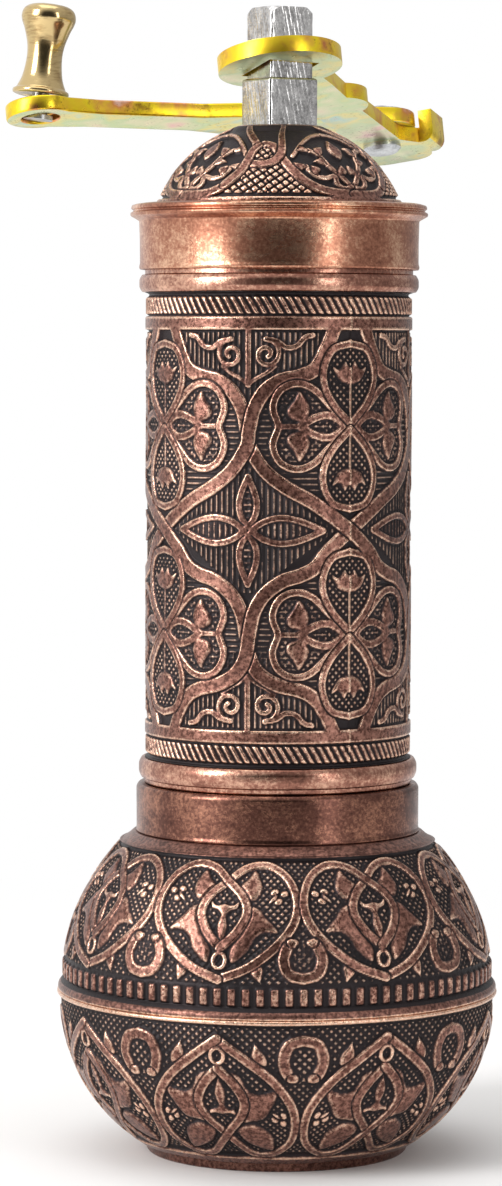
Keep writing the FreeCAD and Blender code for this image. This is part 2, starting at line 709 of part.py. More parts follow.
def knob():
    # a turned brass knob: flared base, waist and rounded head, bored for its pin
    flange_top = knob_flange_radius - knob_flange_step
    edges = [
        line((0, 0), (knob_flange_radius, 0)),
        line((knob_flange_radius, 0), (knob_flange_radius, knob_flange_edge)),
        line((knob_flange_radius, knob_flange_edge), (flange_top, knob_flange_height)),
        arc((flange_top, knob_flange_height), (knob_waist_radius, knob_waist_height),
            (knob_head_radius, knob_head_height)),
        arc((knob_head_radius, knob_head_height),
            (knob_head_radius - knob_crown_drop, knob_height - 3 * knob_crown_drop),
            (knob_crown_radius, knob_height)),
        line((knob_crown_radius, knob_height), (0, knob_height)),
        line((0, knob_height), (0, 0)),
    ]
    bore = cylinder(pin_radius + running_clearance, -1, pin_reach + pin_bore_room)
    body = one_solid(revolve(edges).cut(bore))
    body.Placement = knob_frame.multiply(FreeCAD.Placement(vec(0, 0, knob_stand_off), FreeCAD.Rotation()))
    return body


def knob_pin():
    # riveted loosely in the arm, head in the recess underneath, with a collar that the knob stands on
    head_bottom = -arm_thickness
    body = cylinder(pin_radius, head_bottom, knob_stand_off + pin_reach)
    body = body.fuse(cylinder(pin_head_radius, head_bottom, head_bottom + pin_head_height))
    body = one_solid(body)
    body.Placement = knob_frame
    return body


builders = (
    lower_bowl, upper_bowl, barrel, cap, spindle, upper_bridge, upper_bush, thrust_washer, retaining_clip,
    outer_burr, inner_burr, lower_bridge, lower_bush, bridge_screws, spring_washer, burr_spring,
    adjusting_nut, lock_nut, hub_plate, fold_rivet, fold_washer, crank_arm, knob, knob_pin)

os.makedirs("parts", exist_ok=True)
for build in builders:
    shape = build()
    shape.exportStep("parts/" + build.__name__ + ".step")
    print(build.__name__, "solids", len(shape.Solids), "valid", shape.isValid(),
          "volume", round(shape.Volume, 2))
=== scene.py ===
import json
import math
import bmesh
import bpy
import numpy as np
from mathutils import Matrix, Vector


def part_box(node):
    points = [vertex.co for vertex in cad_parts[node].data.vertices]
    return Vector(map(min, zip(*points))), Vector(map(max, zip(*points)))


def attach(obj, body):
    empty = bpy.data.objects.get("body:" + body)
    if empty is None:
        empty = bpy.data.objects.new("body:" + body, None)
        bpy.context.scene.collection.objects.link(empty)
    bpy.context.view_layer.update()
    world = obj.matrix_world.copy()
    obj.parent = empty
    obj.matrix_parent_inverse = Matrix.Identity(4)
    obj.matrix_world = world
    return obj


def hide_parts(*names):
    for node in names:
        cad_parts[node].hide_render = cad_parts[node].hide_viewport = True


# Turkish coffee grinder: antique copper relief round a steel mill, with a folding crank.
# Lengths are in millimetres here and become metres when a mesh is made.

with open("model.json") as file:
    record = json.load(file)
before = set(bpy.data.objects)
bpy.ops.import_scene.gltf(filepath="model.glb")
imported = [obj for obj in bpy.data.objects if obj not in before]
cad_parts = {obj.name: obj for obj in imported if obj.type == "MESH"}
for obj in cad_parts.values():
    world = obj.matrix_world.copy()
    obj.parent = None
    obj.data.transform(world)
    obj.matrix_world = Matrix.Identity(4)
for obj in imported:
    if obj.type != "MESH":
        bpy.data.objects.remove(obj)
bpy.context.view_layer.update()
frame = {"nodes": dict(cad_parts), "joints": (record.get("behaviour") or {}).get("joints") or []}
nodes = frame["nodes"]
mm = 0.001
print("frame loaded:", len(nodes), "nodes")


# drawing: paths on a flat sheet of metal

pathSteps = 7    # points on a curve from one of its given points to the next


def smoothPath(points, steps=pathSteps):
    # Catmull-Rom curve: every stretch leaves and arrives with the slope of its neighbours
    p = np.asarray(points, float)
    ends = np.vstack([2 * p[0] - p[1], p, 2 * p[-1] - p[-2]])
    a, b, c, d = (ends[k:k + len(p) - 1, None] for k in range(4))
    t = np.linspace(0, 1, steps, endpoint=False)[None, :, None]
    curve = b + 0.5 * t * (c - a + t * (2 * a - 5 * b + 4 * c - d + t * (3 * b - a - 3 * c + d)))
    return np.vstack([curve.reshape(-1, 2), p[-1:]])


def closedPath(points):
    # the same curve run once round a ring of points
    p = np.asarray(points, float)
    ring = smoothPath(np.vstack([p[-1:], p, p[:2]]))
    return ring[pathSteps:-pathSteps]


def leafPath(base, tip, fullness, bend=0.0):
    # two bowed sides from base to tip: the half width is a sine bulge, nearer the base than the tip
    base, tip = np.asarray(base, float), np.asarray(tip, float)
    along = tip - base
    across = np.array([-along[1], along[0]])
    t = np.linspace(0, 1, 13)[:, None]
    middle = base + along * t + across * bend * np.sin(math.pi * t)
    half = across * fullness * np.sin(math.pi * t ** 0.8)
    return np.vstack([middle + half, (middle - half)[-2:0:-1]])


def ringPath(centre, radiusU, radiusV):
    t = np.linspace(0, 2 * math.pi, 29)
    return np.column_stack([centre[0] + radiusU * np.cos(t), centre[1] + radiusV * np.sin(t)])


def spiralPath(centre, outer, turns, start, hand=1):
    # the radius falls evenly to a fifth of the outer one while the angle goes round
    t = np.linspace(0, 1, 36)
    angle = start + hand * 2 * math.pi * turns * t
    radius = outer * (1 - 0.8 * t)
    return np.column_stack([centre[0] + radius * np.cos(angle), centre[1] + radius * np.sin(angle)])


def doubled(half, mirror=(-1, 1)):
    # a half outline and its mirror image, run back to the start
    return np.vstack([half, (half * mirror)[::-1]])


def flipped(path, axis):
    # mirror image across the upright line u = axis
    return np.column_stack([2 * axis - path[:, 0], path[:, 1]])


def placed(path, centre, turn=0.0, size=(1.0, 1.0)):
    # scaled, turned by degrees and moved
    c, s = math.cos(math.radians(turn)), math.sin(math.radians(turn))
    p = path * np.asarray(size)
    return np.column_stack([centre[0] + c * p[:, 0] - s * p[:, 1], centre[1] + s * p[:, 0] + c * p[:, 1]])


def smoothStep(x):
    x = np.clip(x, 0, 1)
    return x * x * (3 - 2 * x)


class Relief:
    # a chased height field: 0 is the sunk ground, 1 the original surface of the metal

    def __init__(self, u, v):
        self.uAxis, self.vAxis = u, v
        self.u, self.v = np.meshgrid(u, v)
        self.height = np.zeros_like(self.u)

    def window(self, path, reach):
        # the part of the sheet that a path can touch, and its heights
        low, high = path.min(0) - reach, path.max(0) + reach
        cols = slice(*np.searchsorted(self.uAxis, (low[0], high[0])))
        rows = slice(*np.searchsorted(self.vAxis, (low[1], high[1])))
        return (rows, cols), self.height[rows, cols]

    def distance(self, path, part):
        # shortest way from every point of the part to the straight stretches of the path
        u, v = self.u[part][..., None], self.v[part][..., None]
        start, step = path[:-1], np.diff(path, axis=0)
        length = np.maximum((step ** 2).sum(1), 1e-9)
        du, dv = u - start[:, 0], v - start[:, 1]
        t = np.clip((du * step[:, 0] + dv * step[:, 1]) / length, 0, 1)
        gap = (du - t * step[:, 0]) ** 2 + (dv - t * step[:, 1]) ** 2
        return np.sqrt(gap.min(-1))

    def inside(self, outline, part):
        # distance to a closed outline, positive inside: a ray to the right crosses it an odd number of times
        ring = np.vstack([outline, outline[:1]])
        u, v = self.u[part][..., None], self.v[part][..., None]
        a, b = ring[:-1], ring[1:]
        spans = (a[:, 1] > v) != (b[:, 1] > v)
        rise = np.where(b[:, 1] == a[:, 1], 1e-9, b[:, 1] - a[:, 1])
        crosses = spans & (u < a[:, 0] + (v - a[:, 1]) * (b[:, 0] - a[:, 0]) / rise)
        sign = np.where(crosses.sum(-1) % 2 == 1, 1.0, -1.0)
        return sign * self.distance(ring, part)

    def ribbon(self, path, width, top=1.0, edge=0.2, moat=0.0, hollow=0.1):
        # flat strip with a faint hollow along its middle; a moat cuts whatever it passes over
        part, patch = self.window(path, width / 2 + moat + edge)
        d = self.distance(path, part)
        if moat:
            patch *= smoothStep((d - width / 2) / moat)
        crown = 1 - hollow * (1 - np.clip(2 * d / width, 0, 1) ** 2)
        np.maximum(patch, top * crown * smoothStep((width / 2 - d) / edge + 0.5), out=patch)

    def leaf(self, outline, top=0.92, edge=0.55, moat=0.16):
        # a pillow: it rises steeply at the rim and levels off inside
        part, patch = self.window(outline, moat + 0.1)
        d = self.inside(outline, part)
        patch *= smoothStep(-d / moat) * (d < 0) + (d >= 0)
        rise = np.clip(d / edge, 0, 1)
        np.maximum(patch, top * np.sqrt(1 - (1 - rise) ** 2) * (d > 0), out=patch)

    def beads(self, outline, pitch, top=0.5, turn=45.0, groove=0.3):
        # a lattice of little pyramids over whatever ground is left inside an outline
        part, patch = self.window(outline, 0.0)
        c, s = math.cos(math.radians(turn)), math.sin(math.radians(turn))
        u, v = self.u[part], self.v[part]
        a, b = (c * u + s * v) / pitch, (c * v - s * u) / pitch
        peak = np.maximum(abs(a - np.floor(a) - 0.5), abs(b - np.floor(b) - 0.5))
        grain = top * smoothStep((0.46 - peak) / groove) * (self.inside(outline, part) > 0.12)
        np.maximum(patch, grain, out=patch)

    def hatch(self, outline, pitch, turn=0.0, top=0.4):
        # parallel chisel lines inside an outline, across the given direction
        part, patch = self.window(outline, 0.0)
        c, s = math.cos(math.radians(turn)), math.sin(math.radians(turn))
        wave = 0.5 + 0.5 * np.cos(2 * math.pi * (c * self.u[part] + s * self.v[part]) / pitch)
        np.maximum(patch, top * wave * (self.inside(outline, part) > 0.1), out=patch)

    def wear(self, reach):
        # how far each point stands above or below the mean of its neighbourhood
        pad = np.pad(self.height, reach, mode="edge")
        total = np.pad(pad.cumsum(0).cumsum(1), ((1, 0), (1, 0)))
        span = 2 * reach + 1
        box = total[span:, span:] - total[:-span, span:] - total[span:, :-span] + total[:-span, :-span]
        return self.height - box / span ** 2


# the arabesque of the tube

tubeOrnament = {
    "width": 2 * math.pi * 16.6 / 4,   # one repeat of four
    "centre": 12.6,                    # quatrefoils above and below the middle line
    "edge": 24.2,                      # panel's end above and below the middle line
    "strap": 1.85,
    "line": 0.95,
    "bead": 0.66,
    "border": 1.7,                     # plain line along the panel's end
    "flutes": 104,                     # of the rope beyond it
    "lean": 1.7,                       # height in which a flute of the rope moves on by one
}


def heartPath():
    # one horizontal heart of a quatrefoil, its tip at the middle
    lobe = [(0.2, 0.0), (2.8, 2.5), (5.1, 4.6), (7.2, 5.15), (9.1, 4.3), (9.95, 2.3), (9.3, 0.25)]
    return doubled(smoothPath(lobe), (1, -1))


def petalPath():
    # one upright loop of a quatrefoil
    side = smoothPath([(0.0, 0.3), (2.2, 2.5), (3.5, 4.8), (3.6, 7.1), (2.4, 9.3), (0.0, 10.0)])
    return doubled(side)


def drawQuatrefoil(relief, cu, cv):
    o = tubeOrnament
    for hand in (1, -1):
        heart = placed(heartPath(), (cu, cv), size=(hand, 1))
        relief.beads(heart, o["bead"])
        relief.ribbon(heart, o["line"], moat=0.2)
        for side in (1, -1):
            big = smoothPath([(6.0, 0.2), (7.9, 0.9), (8.3, 1.9), (7.5, 3.1), (6.7, 4.3), (5.7, 3.2),
                              (5.3, 2.0), (5.6, 1.0), (6.0, 0.2)])
            relief.leaf(placed(big, (cu, cv), size=(hand, side)), edge=0.6)
        relief.ribbon(placed(np.array([(6.6, 0.0), (9.2, 0.0)]), (cu, cv), size=(hand, 1)), 0.7, top=0.85)
        eye = np.vstack([leafPath((0.9, 0.0), (6.6, 0.0), 0.24), [(0.9, 0.0)]])
        relief.ribbon(placed(eye, (cu, cv), size=(hand, 1)), 1.0, top=0.92)
    for hand in (1, -1):
        petal = placed(petalPath(), (cu, cv), size=(1, hand))
        relief.beads(petal, o["bead"])
        relief.ribbon(petal, o["line"], moat=0.2)
        shell = closedPath([(0.0, 5.0), (1.6, 5.5), (2.5, 7.2), (1.5, 7.0), (0.7, 7.9), (0.0, 7.2),
                            (-0.7, 7.9), (-1.5, 7.0), (-2.5, 7.2), (-1.6, 5.5)])
        relief.leaf(placed(shell, (cu, cv), size=(1, hand)), edge=0.5)
        relief.ribbon(placed(np.array([(0.0, 1.0), (0.0, 5.0)]), (cu, cv), size=(1, hand)), 0.4, top=0.7)


def strapRoute(cv):
    # from above the quatrefoil, round its left side and down to the foot of the neighbour's; straps that
    # meet the middle line cross there on the quatrefoil's axis, the others run into the end line
    half = tubeOrnament["width"] / 2
    towardsMiddle = [(0.0, 12.6), (-1.3, 11.6), (-3.1, 10.0), (-4.6, 8.2), (-6.5, 7.2), (-8.7, 6.5),
                     (-10.9, 4.9), (-12.2, 2.8), (-12.8, 0.2), (-13.3, -2.6)]
    towardsEnd = [(-2.2, 11.9), (-3.4, 9.2), (-4.8, 6.9), (-6.9, 6.0), (-9.1, 5.5), (-11.0, 4.2),
                  (-12.3, 2.0), (-12.9, -0.5), (-13.3, -2.6)]
    downToMiddle = [(-15.2, -5.4), (-17.8, -7.4), (-20.6, -8.9), (-23.4, -10.7), (-2 * half, -12.6)]
    downToEnd = [(-14.4, -4.6), (-16.6, -6.0), (-19.4, -6.7), (-21.3, -7.7), (-22.7, -9.5), (-23.9, -11.9)]
    return smoothPath(towardsEnd + downToMiddle if cv > 0 else towardsMiddle + downToEnd)


def drawStraps(relief, cu, cv):
    # the broad band round a quatrefoil; where two cross at its side the one that falls to the left lies over
    o = tubeOrnament
    over = placed(strapRoute(cv), (cu, cv))
    under = flipped(over, cu - o["width"] / 2)
    relief.ribbon(under, o["strap"], edge=0.24, moat=0.16)
    relief.ribbon(over, o["strap"], edge=0.24, moat=0.22)


def drawCrossing(relief, cu):
    # on the middle line the strap that falls to the right lies over
    fall = [(-3.1, 2.1), (-2.3, 1.6), (-1.2, 0.8), (0.0, 0.0), (1.2, -0.95), (2.2, -1.8), (3.1, -2.6)]
    for reach, moat in ((2, 0.22), (3, 0.0)):
        strap = placed(smoothPath(fall[3 - reach:4 + reach]), (cu, 0.0))
        relief.ribbon(strap, tubeOrnament["strap"], edge=0.24, moat=moat)


def drawCorner(relief, cu, hand):
    # stem, two spirals and two hooks that fill the corner under the panel's end line
    o = tubeOrnament
    end = hand * o["edge"]
    area = np.array([(-10.4, -0.1), (10.4, -0.1), (8.4, -4.2), (4.5, -6.4), (1.0, -10.4), (-1.0, -10.4),
                     (-4.5, -6.4), (-8.4, -4.2)])
    relief.hatch(placed(area, (cu, end), size=(1, hand)), 0.7, top=0.5)
    stem = np.array([(0.0, 0.2), (0.0, -6.6)])
    relief.ribbon(placed(stem, (cu, end), size=(1, hand)), 0.8, top=0.9)
    curl = spiralPath((2.25, -2.9), 1.8, 1.4, 0.5 * math.pi, hand=-1)
    hook = smoothPath([(2.2, -1.1), (3.6, -1.4), (4.7, -2.1), (6.0, -1.9), (7.0, -0.9), (8.0, -0.6)])
    foot = smoothPath([(0.0, -6.6), (0.9, -5.9), (2.2, -5.2), (3.3, -4.4)])
    for side in (1, -1):
        for path, width, top in ((curl, 0.62, 0.95), (hook, 0.72, 0.95), (foot, 0.55, 0.85)):
            relief.ribbon(placed(path, (cu, end), size=(side, hand)), width, top=top)


def drawRosette(relief, cu):
    # four pointed petals with rungs on a chiselled ground, on the middle line where two straps leave room
    ground = np.array([(-11.2, 0.0), (-6.0, 3.6), (-1.4, 7.6), (1.4, 7.6), (6.0, 3.6), (11.2, 0.0),
                       (6.0, -3.6), (1.4, -7.6), (-1.4, -7.6), (-6.0, -3.6)])
    relief.hatch(placed(ground, (cu, 0.0)), 0.74, top=0.45)
    for turn, reach, fullness in ((90, 6.5, 0.19), (270, 6.5, 0.19), (0, 9.4, 0.175), (180, 9.4, 0.175)):
        petal = leafPath((0.5, 0.0), (reach, 0.0), fullness)
        outline = placed(petal, (cu, 0.0), turn)
        relief.hatch(outline, 0.78, turn=turn, top=0.6)
        relief.ribbon(np.vstack([outline, outline[:1]]), 0.85, top=0.92, moat=0.16)
    relief.ribbon(ringPath((cu, 0.0), 0.4, 0.4), 0.6, top=0.95)


def drawTubePanel(relief):
    o = tubeOrnament
    ground = np.array([(3.0, 12.3), (3.9, 8.0), (8.5, 6.9), (12.4, 4.0), (12.4, -2.0), (12.0, -4.0),
                       (9.0, -6.3), (5.2, -8.0), (3.0, -12.0)])
    for hand in (1, -1):
        for cu in (0.0, o["width"]):
            for side in (1, -1):
                beside = placed(ground, (cu, hand * o["centre"]), size=(side, 1))
                relief.hatch(beside, 0.7, turn=90.0, top=0.45)
    drawRosette(relief, o["width"] / 2)
    for hand in (1, -1):
        drawCorner(relief, o["width"] / 2, hand)
    for tier in (1, -1):
        for cu in (0.0, o["width"], 2 * o["width"]):
            drawStraps(relief, cu, tier * o["centre"])
        for cu in (0.0, o["width"]):
            drawQuatrefoil(relief, cu, tier * o["centre"])
    for cu in (0.0, o["width"]):
        drawCrossing(relief, cu)
    for hand in (1, -1):
        endLine = [(u, hand * (o["edge"] + o["border"] / 2)) for u in (-1.0, o["width"] + 1.0)]
        relief.ribbon(np.array(endLine), o["border"], edge=0.22, hollow=0.0)
    # the rope: each flute is a rounded ridge, and the flutes lean as they rise
    beyond = abs(relief.v) - o["edge"] - 1.75
    slope = relief.u * o["flutes"] / (4 * o["width"]) + relief.v / o["lean"]
    rope = (1 - abs(2 * (slope - np.floor(slope)) - 1) ** 2.6) * smoothStep(beyond / 0.3)
    rope *= 0.9 * smoothStep((2.5 - beyond) / 0.4)
    relief.height = np.where(beyond > 0, rope, relief.height)


# the hearts of the bulb

bulbOrnament = {
    "width": 19.6,     # one repeat of eight, measured where the bulb is widest
    "line": 1.2,
    "bead": 0.7,
    "reeds": 96,
    "hang": 21.15,     # where the lower palmettes hang from
}


upperHeart = {
    # its tip is below, and heights are counted from the reeds
    "lobe": [(0.0, 0.7), (3.6, 2.3), (7.2, 5.4), (9.1, 8.4), (9.25, 11.4), (7.9, 14.1), (5.2, 15.55),
             (2.2, 15.0), (0.0, 13.2), (-2.1, 11.3), (-2.95, 9.1), (-1.9, 6.6), (0.0, 4.5)],
    "big": [(2.2, 10.6), (1.5, 12.4), (2.6, 13.6), (3.6, 15.0), (4.5, 13.7), (4.9, 12.1), (4.2, 10.8),
            (3.3, 10.5)],
    "low": [(2.4, 10.1), (4.3, 9.8), (5.4, 8.6), (7.0, 6.6), (5.2, 6.4), (4.2, 5.7), (3.3, 4.0), (1.5, 2.6),
            (1.1, 4.4), (2.4, 7.0)],
    "sprig": ((7.05, 11.3), 20.0, 1.05),
    "outer": ((4.6, 2.9), (4.9, 0.3), 0.3, -0.1),
    "bud": (9.2, 1),
    "ring": (3.0, 0.72),
}

lowerHeart = {
    # the same heart hung from its tip, fuller in its lobes; heights are counted from the foot
    "lobe": [(0.0, 20.3), (3.3, 17.7), (6.4, 14.9), (8.6, 11.4), (9.2, 8.0), (8.5, 4.8), (6.0, 2.5),
             (3.2, 2.7), (1.0, 5.2), (-0.6, 7.4), (-2.3, 9.8), (-2.85, 12.0), (-1.9, 14.3), (0.0, 16.6)],
    "big": [(2.3, 9.0), (2.2, 13.2), (1.0, 16.2), (2.6, 15.6), (3.6, 13.7), (5.0, 13.3), (7.2, 13.9),
            (6.3, 11.2), (5.3, 9.4), (3.8, 8.9)],
    "low": [(1.5, 7.4), (3.5, 8.6), (5.8, 7.3), (6.6, 5.0), (6.3, 3.3), (4.3, 3.9), (2.3, 5.3)],
    "sprig": ((7.3, 9.3), -60.0, 1.0),
    "outer": ((5.6, 16.9), (4.3, 19.9), 0.26, 0.1),
    "bud": (11.0, -1),
    "ring": (18.2, 0.75),
}


def budPath():
    # flat-headed bud on a stalk leaf, drawn upright from the origin
    side = smoothPath([(0.0, 0.9), (1.0, 0.75), (1.75, 1.35), (1.5, 0.35), (0.75, 0.0), (0.35, -0.45)])
    stalk = smoothPath([(0.35, -0.45), (0.62, -1.8), (0.38, -3.0), (0.0, -3.9)])
    return doubled(np.vstack([side, stalk[1:]])) * 1.15


def sprigPaths(centre, turn, size):
    # three small lobes and a stalk
    lobes = [ringPath((math.cos(a) * 0.72, math.sin(a) * 0.72), 0.62, 0.5) for a in (0.0, 2.1, 4.2)]
    lobes.append(leafPath((0.0, 0.2), (-1.7, -0.5), 0.16))
    return [placed(lobe, centre, turn, (size, size)) for lobe in lobes]


def drawHeart(relief, cu, heart):
    # two ribbons cross at the cleft and close round a lozenge; leaves, sprigs and a bud lie between them
    o = bulbOrnament
    ribbon = smoothPath(heart["lobe"])
    outline = doubled(ribbon[:8 * pathSteps + 1])
    relief.beads(placed(outline, (cu, 0.0)), o["bead"])
    for side in (1, -1):
        for key in ("big", "low"):
            relief.leaf(placed(closedPath(heart[key]), (cu, 0.0), size=(side, 1)), edge=0.7)
        for part in sprigPaths(*heart["sprig"]) + [leafPath(*heart["outer"])]:
            relief.leaf(placed(part, (cu, 0.0), size=(side, 1)), edge=0.4)
    budHeight, upright = heart["bud"]
    relief.leaf(placed(budPath() * (1, upright), (cu, budHeight)), edge=0.4)
    for side in (1, -1):
        relief.ribbon(placed(ribbon, (cu, 0.0), size=(side, 1)), o["line"], edge=0.22, moat=0.2)
    ringHeight, ringWidth = heart["ring"]
    relief.ribbon(ringPath((cu, ringHeight), ringWidth, 0.95), 0.5, moat=0.1)


def drawPalmette(relief, cu, tall):
    # horseshoe with curled ends between two hearts
    half = smoothPath([(0.0, 0.0), (1.55, 0.5), (2.25, 2.1), (1.9, 3.6), (1.35, 4.3)])
    shoe = np.vstack([(half * (-1, 1))[::-1], half])
    foot = (cu, 0.9)
    ground = np.array([(-1.8, 0.3), (1.8, 0.3), (2.0, 4.8), (-2.0, 4.8)])
    relief.beads(placed(ground, foot, size=(1, tall)), 0.78)
    relief.ribbon(placed(shoe, foot, size=(1, tall)), 1.45, top=0.95, edge=0.5, moat=0.2)
    for side in (1, -1):
        relief.leaf(placed(ringPath((1.15, 4.4), 0.75, 0.6), foot, size=(side, tall)), edge=0.4)


def drawHearts(relief, heart, low, high):
    # dotted ground between two heights, and two half hearts at the ends of the repeat
    o = bulbOrnament
    left, right = -1.0, o["width"] + 1
    relief.beads(np.array([(left, low), (right, low), (right, high), (left, high)]), o["bead"], top=0.45)
    for cu in (0.0, o["width"]):
        drawHeart(relief, cu, heart)


def drawUpperBulb(relief):
    drawHearts(relief, upperHeart, 0.2, 16.2)
    drawPalmette(relief, bulbOrnament["width"] / 2, 1.0)


def drawLowerBulb(relief):
    # the palmettes hang upside down, so they are drawn on a sheet that is turned over and back
    o = bulbOrnament
    drawHearts(relief, lowerHeart, 2.6, 21.8)
    turned = Relief(relief.uAxis, o["hang"] - relief.vAxis[::-1])
    turned.height = relief.height[::-1].copy()
    drawPalmette(turned, o["width"] / 2, 1.12)
    relief.height = turned.height[::-1]
    relief.height *= smoothStep((relief.v - 1.7) / 0.25)
    np.maximum(relief.height, smoothStep((1.75 - relief.v) / 0.25), out=relief.height)


# the knotted bands of the dome

domeOrnament = {
    "width": 20.4,    # one repeat of four, measured halfway up
    "tall": 15.2,     # from the base to the hole
    "band": 1.3,
    "bead": 0.86,
}


def drawSpandrel(relief, cu):
    # two cartouche bands knotted round a loop, over a lattice of small pyramids
    o = domeOrnament
    lattice = np.array([(-6.5, 0.9), (6.3, 0.9), (1.9, 6.2), (-0.5, 9.3), (-2.6, 6.8)])
    relief.beads(placed(lattice, (cu, 0.0)), o["bead"], top=0.85, turn=42.0, groove=0.16)
    rising = smoothPath([(-8.2, 15.2), (-5.1, 12.5), (-2.9, 10.3), (-2.1, 8.9)])
    hook = smoothPath([(2.8, 15.4), (1.9, 12.4), (1.8, 9.6), (1.65, 7.7), (0.9, 6.2), (-0.5, 5.45),
                       (-2.1, 5.5)])
    belt = smoothPath([(-10.3, 0.75), (-6.9, 0.95), (-4.9, 2.1), (-3.4, 4.2), (-2.8, 6.2), (-2.5, 8.0),
                       (-1.5, 9.3), (0.2, 9.2), (1.2, 7.9), (1.9, 6.3), (3.0, 4.4), (4.5, 2.5), (6.7, 1.2),
                       (10.3, 0.75)])
    for path in (rising, belt, hook):
        relief.ribbon(placed(path, (cu, 0.0)), o["band"], edge=0.22, moat=0.2)
    left = smoothPath([(-4.9, 2.1), (-3.4, 4.2), (-2.8, 6.2), (-2.5, 8.0), (-1.8, 9.1)])
    relief.ribbon(placed(left, (cu, 0.0)), o["band"], edge=0.22, moat=0.16)


def drawCartouche(relief, cu):
    # leaf scrolls of the common kind: a forked stem with hooks, curled leaves and two loops at its foot
    arch = smoothPath([(-7.0, 7.0), (-5.2, 9.6), (-2.8, 11.4), (0.0, 12.1)])
    stem = smoothPath([(0.2, 1.9), (1.3, 3.6), (2.5, 5.4), (3.3, 7.2), (4.6, 8.2)])
    loop = smoothPath([(0.2, 1.9), (1.2, 1.6), (2.0, 2.3), (2.1, 3.5), (3.3, 3.2), (4.5, 3.6), (5.6, 5.2)])
    leaves = [((5.4, 5.0), (7.6, 5.9), -0.2), ((4.3, 3.6), (5.0, 5.4), 0.2), ((2.6, 5.5), (4.4, 6.0), 0.2),
              ((3.2, 7.1), (1.9, 8.9), -0.2), ((4.5, 8.1), (6.3, 8.0), 0.2), ((1.4, 3.8), (0.5, 5.6), 0.2)]
    for side in (1, -1):
        for path, width, moat in ((arch, 0.7, 0.12), (stem, 0.78, 0.14), (loop, 0.7, 0.14)):
            relief.ribbon(placed(path, (cu, 0.0), size=(side, 1)), width, top=0.95, moat=moat)
        for base, tip, bend in leaves:
            relief.leaf(placed(leafPath(base, tip, 0.36, bend), (cu, 0.0), size=(side, 1)), edge=0.4)
    relief.leaf(placed(leafPath((0.0, 6.4), (0.0, 10.6), 0.3), (cu, 0.0)), edge=0.5)


def drawDome(relief):
    o = domeOrnament
    for cu in (0.0, o["width"]):
        drawCartouche(relief, cu)
    for cu in (-o["width"] / 2, o["width"] / 2, 1.5 * o["width"]):
        drawSpandrel(relief, cu)
    np.maximum(relief.height, smoothStep((0.42 - relief.v) / 0.16), out=relief.height)
    np.maximum(relief.height, smoothStep((relief.v - 14.7) / 0.3), out=relief.height)


# from profiles and reliefs to meshes

def unevenness(angle, height, seed):
    # slow waves that a hand-finished casting keeps, from about 0 to about 1
    rng = np.random.default_rng(seed)
    total = np.zeros(np.broadcast(angle, height).shape)
    for around, upright in ((2, 0.11), (3, 0.19), (5, 0.31), (7, 0.23), (11, 0.47)):
        total += np.sin(around * angle + upright * height + rng.uniform(0, 6.28)) / 4
    return 0.5 + 0.5 * total


def softCorners(points, radius, steps=4):
    # a closed outline whose corners become small parabolas, set back by the radius or a third of a side
    p = np.asarray(points, float)
    before, after = np.roll(p, 1, 0) - p, np.roll(p, -1, 0) - p
    reach = np.minimum(np.linalg.norm(before, axis=1), np.linalg.norm(after, axis=1))
    cut = np.minimum(radius, reach / 3)[:, None]
    a = p + before / np.linalg.norm(before, axis=1)[:, None] * cut
    b = p + after / np.linalg.norm(after, axis=1)[:, None] * cut
    t = np.linspace(0, 1, steps)[:, None, None]
    curve = (1 - t) ** 2 * a + 2 * t * (1 - t) * p + t ** 2 * b
    return curve.transpose(1, 0, 2).reshape(-1, 2)


def bowedLine(a, b, bow, count):
    # points on the arc from a to b whose middle stands off its chord by bow
    a, b = np.asarray(a, float), np.asarray(b, float)
    chord = np.linalg.norm(b - a)
    radius = (chord ** 2 / 4 + bow ** 2) / (2 * bow)
    across = np.array([(b - a)[1], -(b - a)[0]]) / chord
    centre = (a + b) / 2 - across * (radius - bow)
    start, end = a - centre, b - centre
    sweep = math.atan2(start[0] * end[1] - start[1] * end[0], start @ end)
    t = np.linspace(0, sweep, count)
    c, s = np.cos(t), np.sin(t)
    return centre + np.column_stack([c * start[0] - s * start[1], s * start[0] + c * start[1]])


def linked(name, data):
    item = bpy.data.objects.new(name, data)
    bpy.context.scene.collection.objects.link(item)
    return item


def meshFrom(name, points, quads, caps=(), layers=None, sharp=None):
    # points in millimetres; a layer holds a value for each point; an edge between two sharp points is sharp
    mesh = bpy.data.meshes.new(name)
    faces = list(map(list, caps))
    mesh.vertices.add(len(points))
    mesh.vertices.foreach_set("co", (points * mm).astype(np.float32).ravel())
    loops = np.concatenate([quads.ravel()] + [np.asarray(f) for f in faces]).astype(np.int32)
    sizes = np.concatenate([np.full(len(quads), 4), [len(f) for f in faces]]).astype(np.int32)
    mesh.loops.add(len(loops))
    mesh.loops.foreach_set("vertex_index", loops)
    mesh.polygons.add(len(sizes))
    mesh.polygons.foreach_set("loop_start", np.concatenate([[0], sizes.cumsum()[:-1]]).astype(np.int32))
    mesh.update(calc_edges=True)
    mesh.validate()
    mesh.polygons.foreach_set("use_smooth", np.ones(len(mesh.polygons), bool))
    for key, values in (layers or {}).items():
        layer = mesh.attributes.new(key, "FLOAT", "POINT")
        layer.data.foreach_set("value", values.astype(np.float32).ravel())
    if sharp is not None:
        ends = np.zeros(len(mesh.edges) * 2, np.int32)
        mesh.edges.foreach_get("vertices", ends)
        flags = sharp[ends.reshape(-1, 2)].all(1)
        mesh.attributes.new("sharp_edge", "BOOLEAN", "EDGE").data.foreach_set("value", flags)
    return linked(name, mesh)


def closePoles(piece):
    # the points that lie on the axis become one
    work = bmesh.new()
    work.from_mesh(piece.data)
    bmesh.ops.remove_doubles(work, verts=work.verts, dist=1e-7)
    work.to_mesh(piece.data)
    work.free()


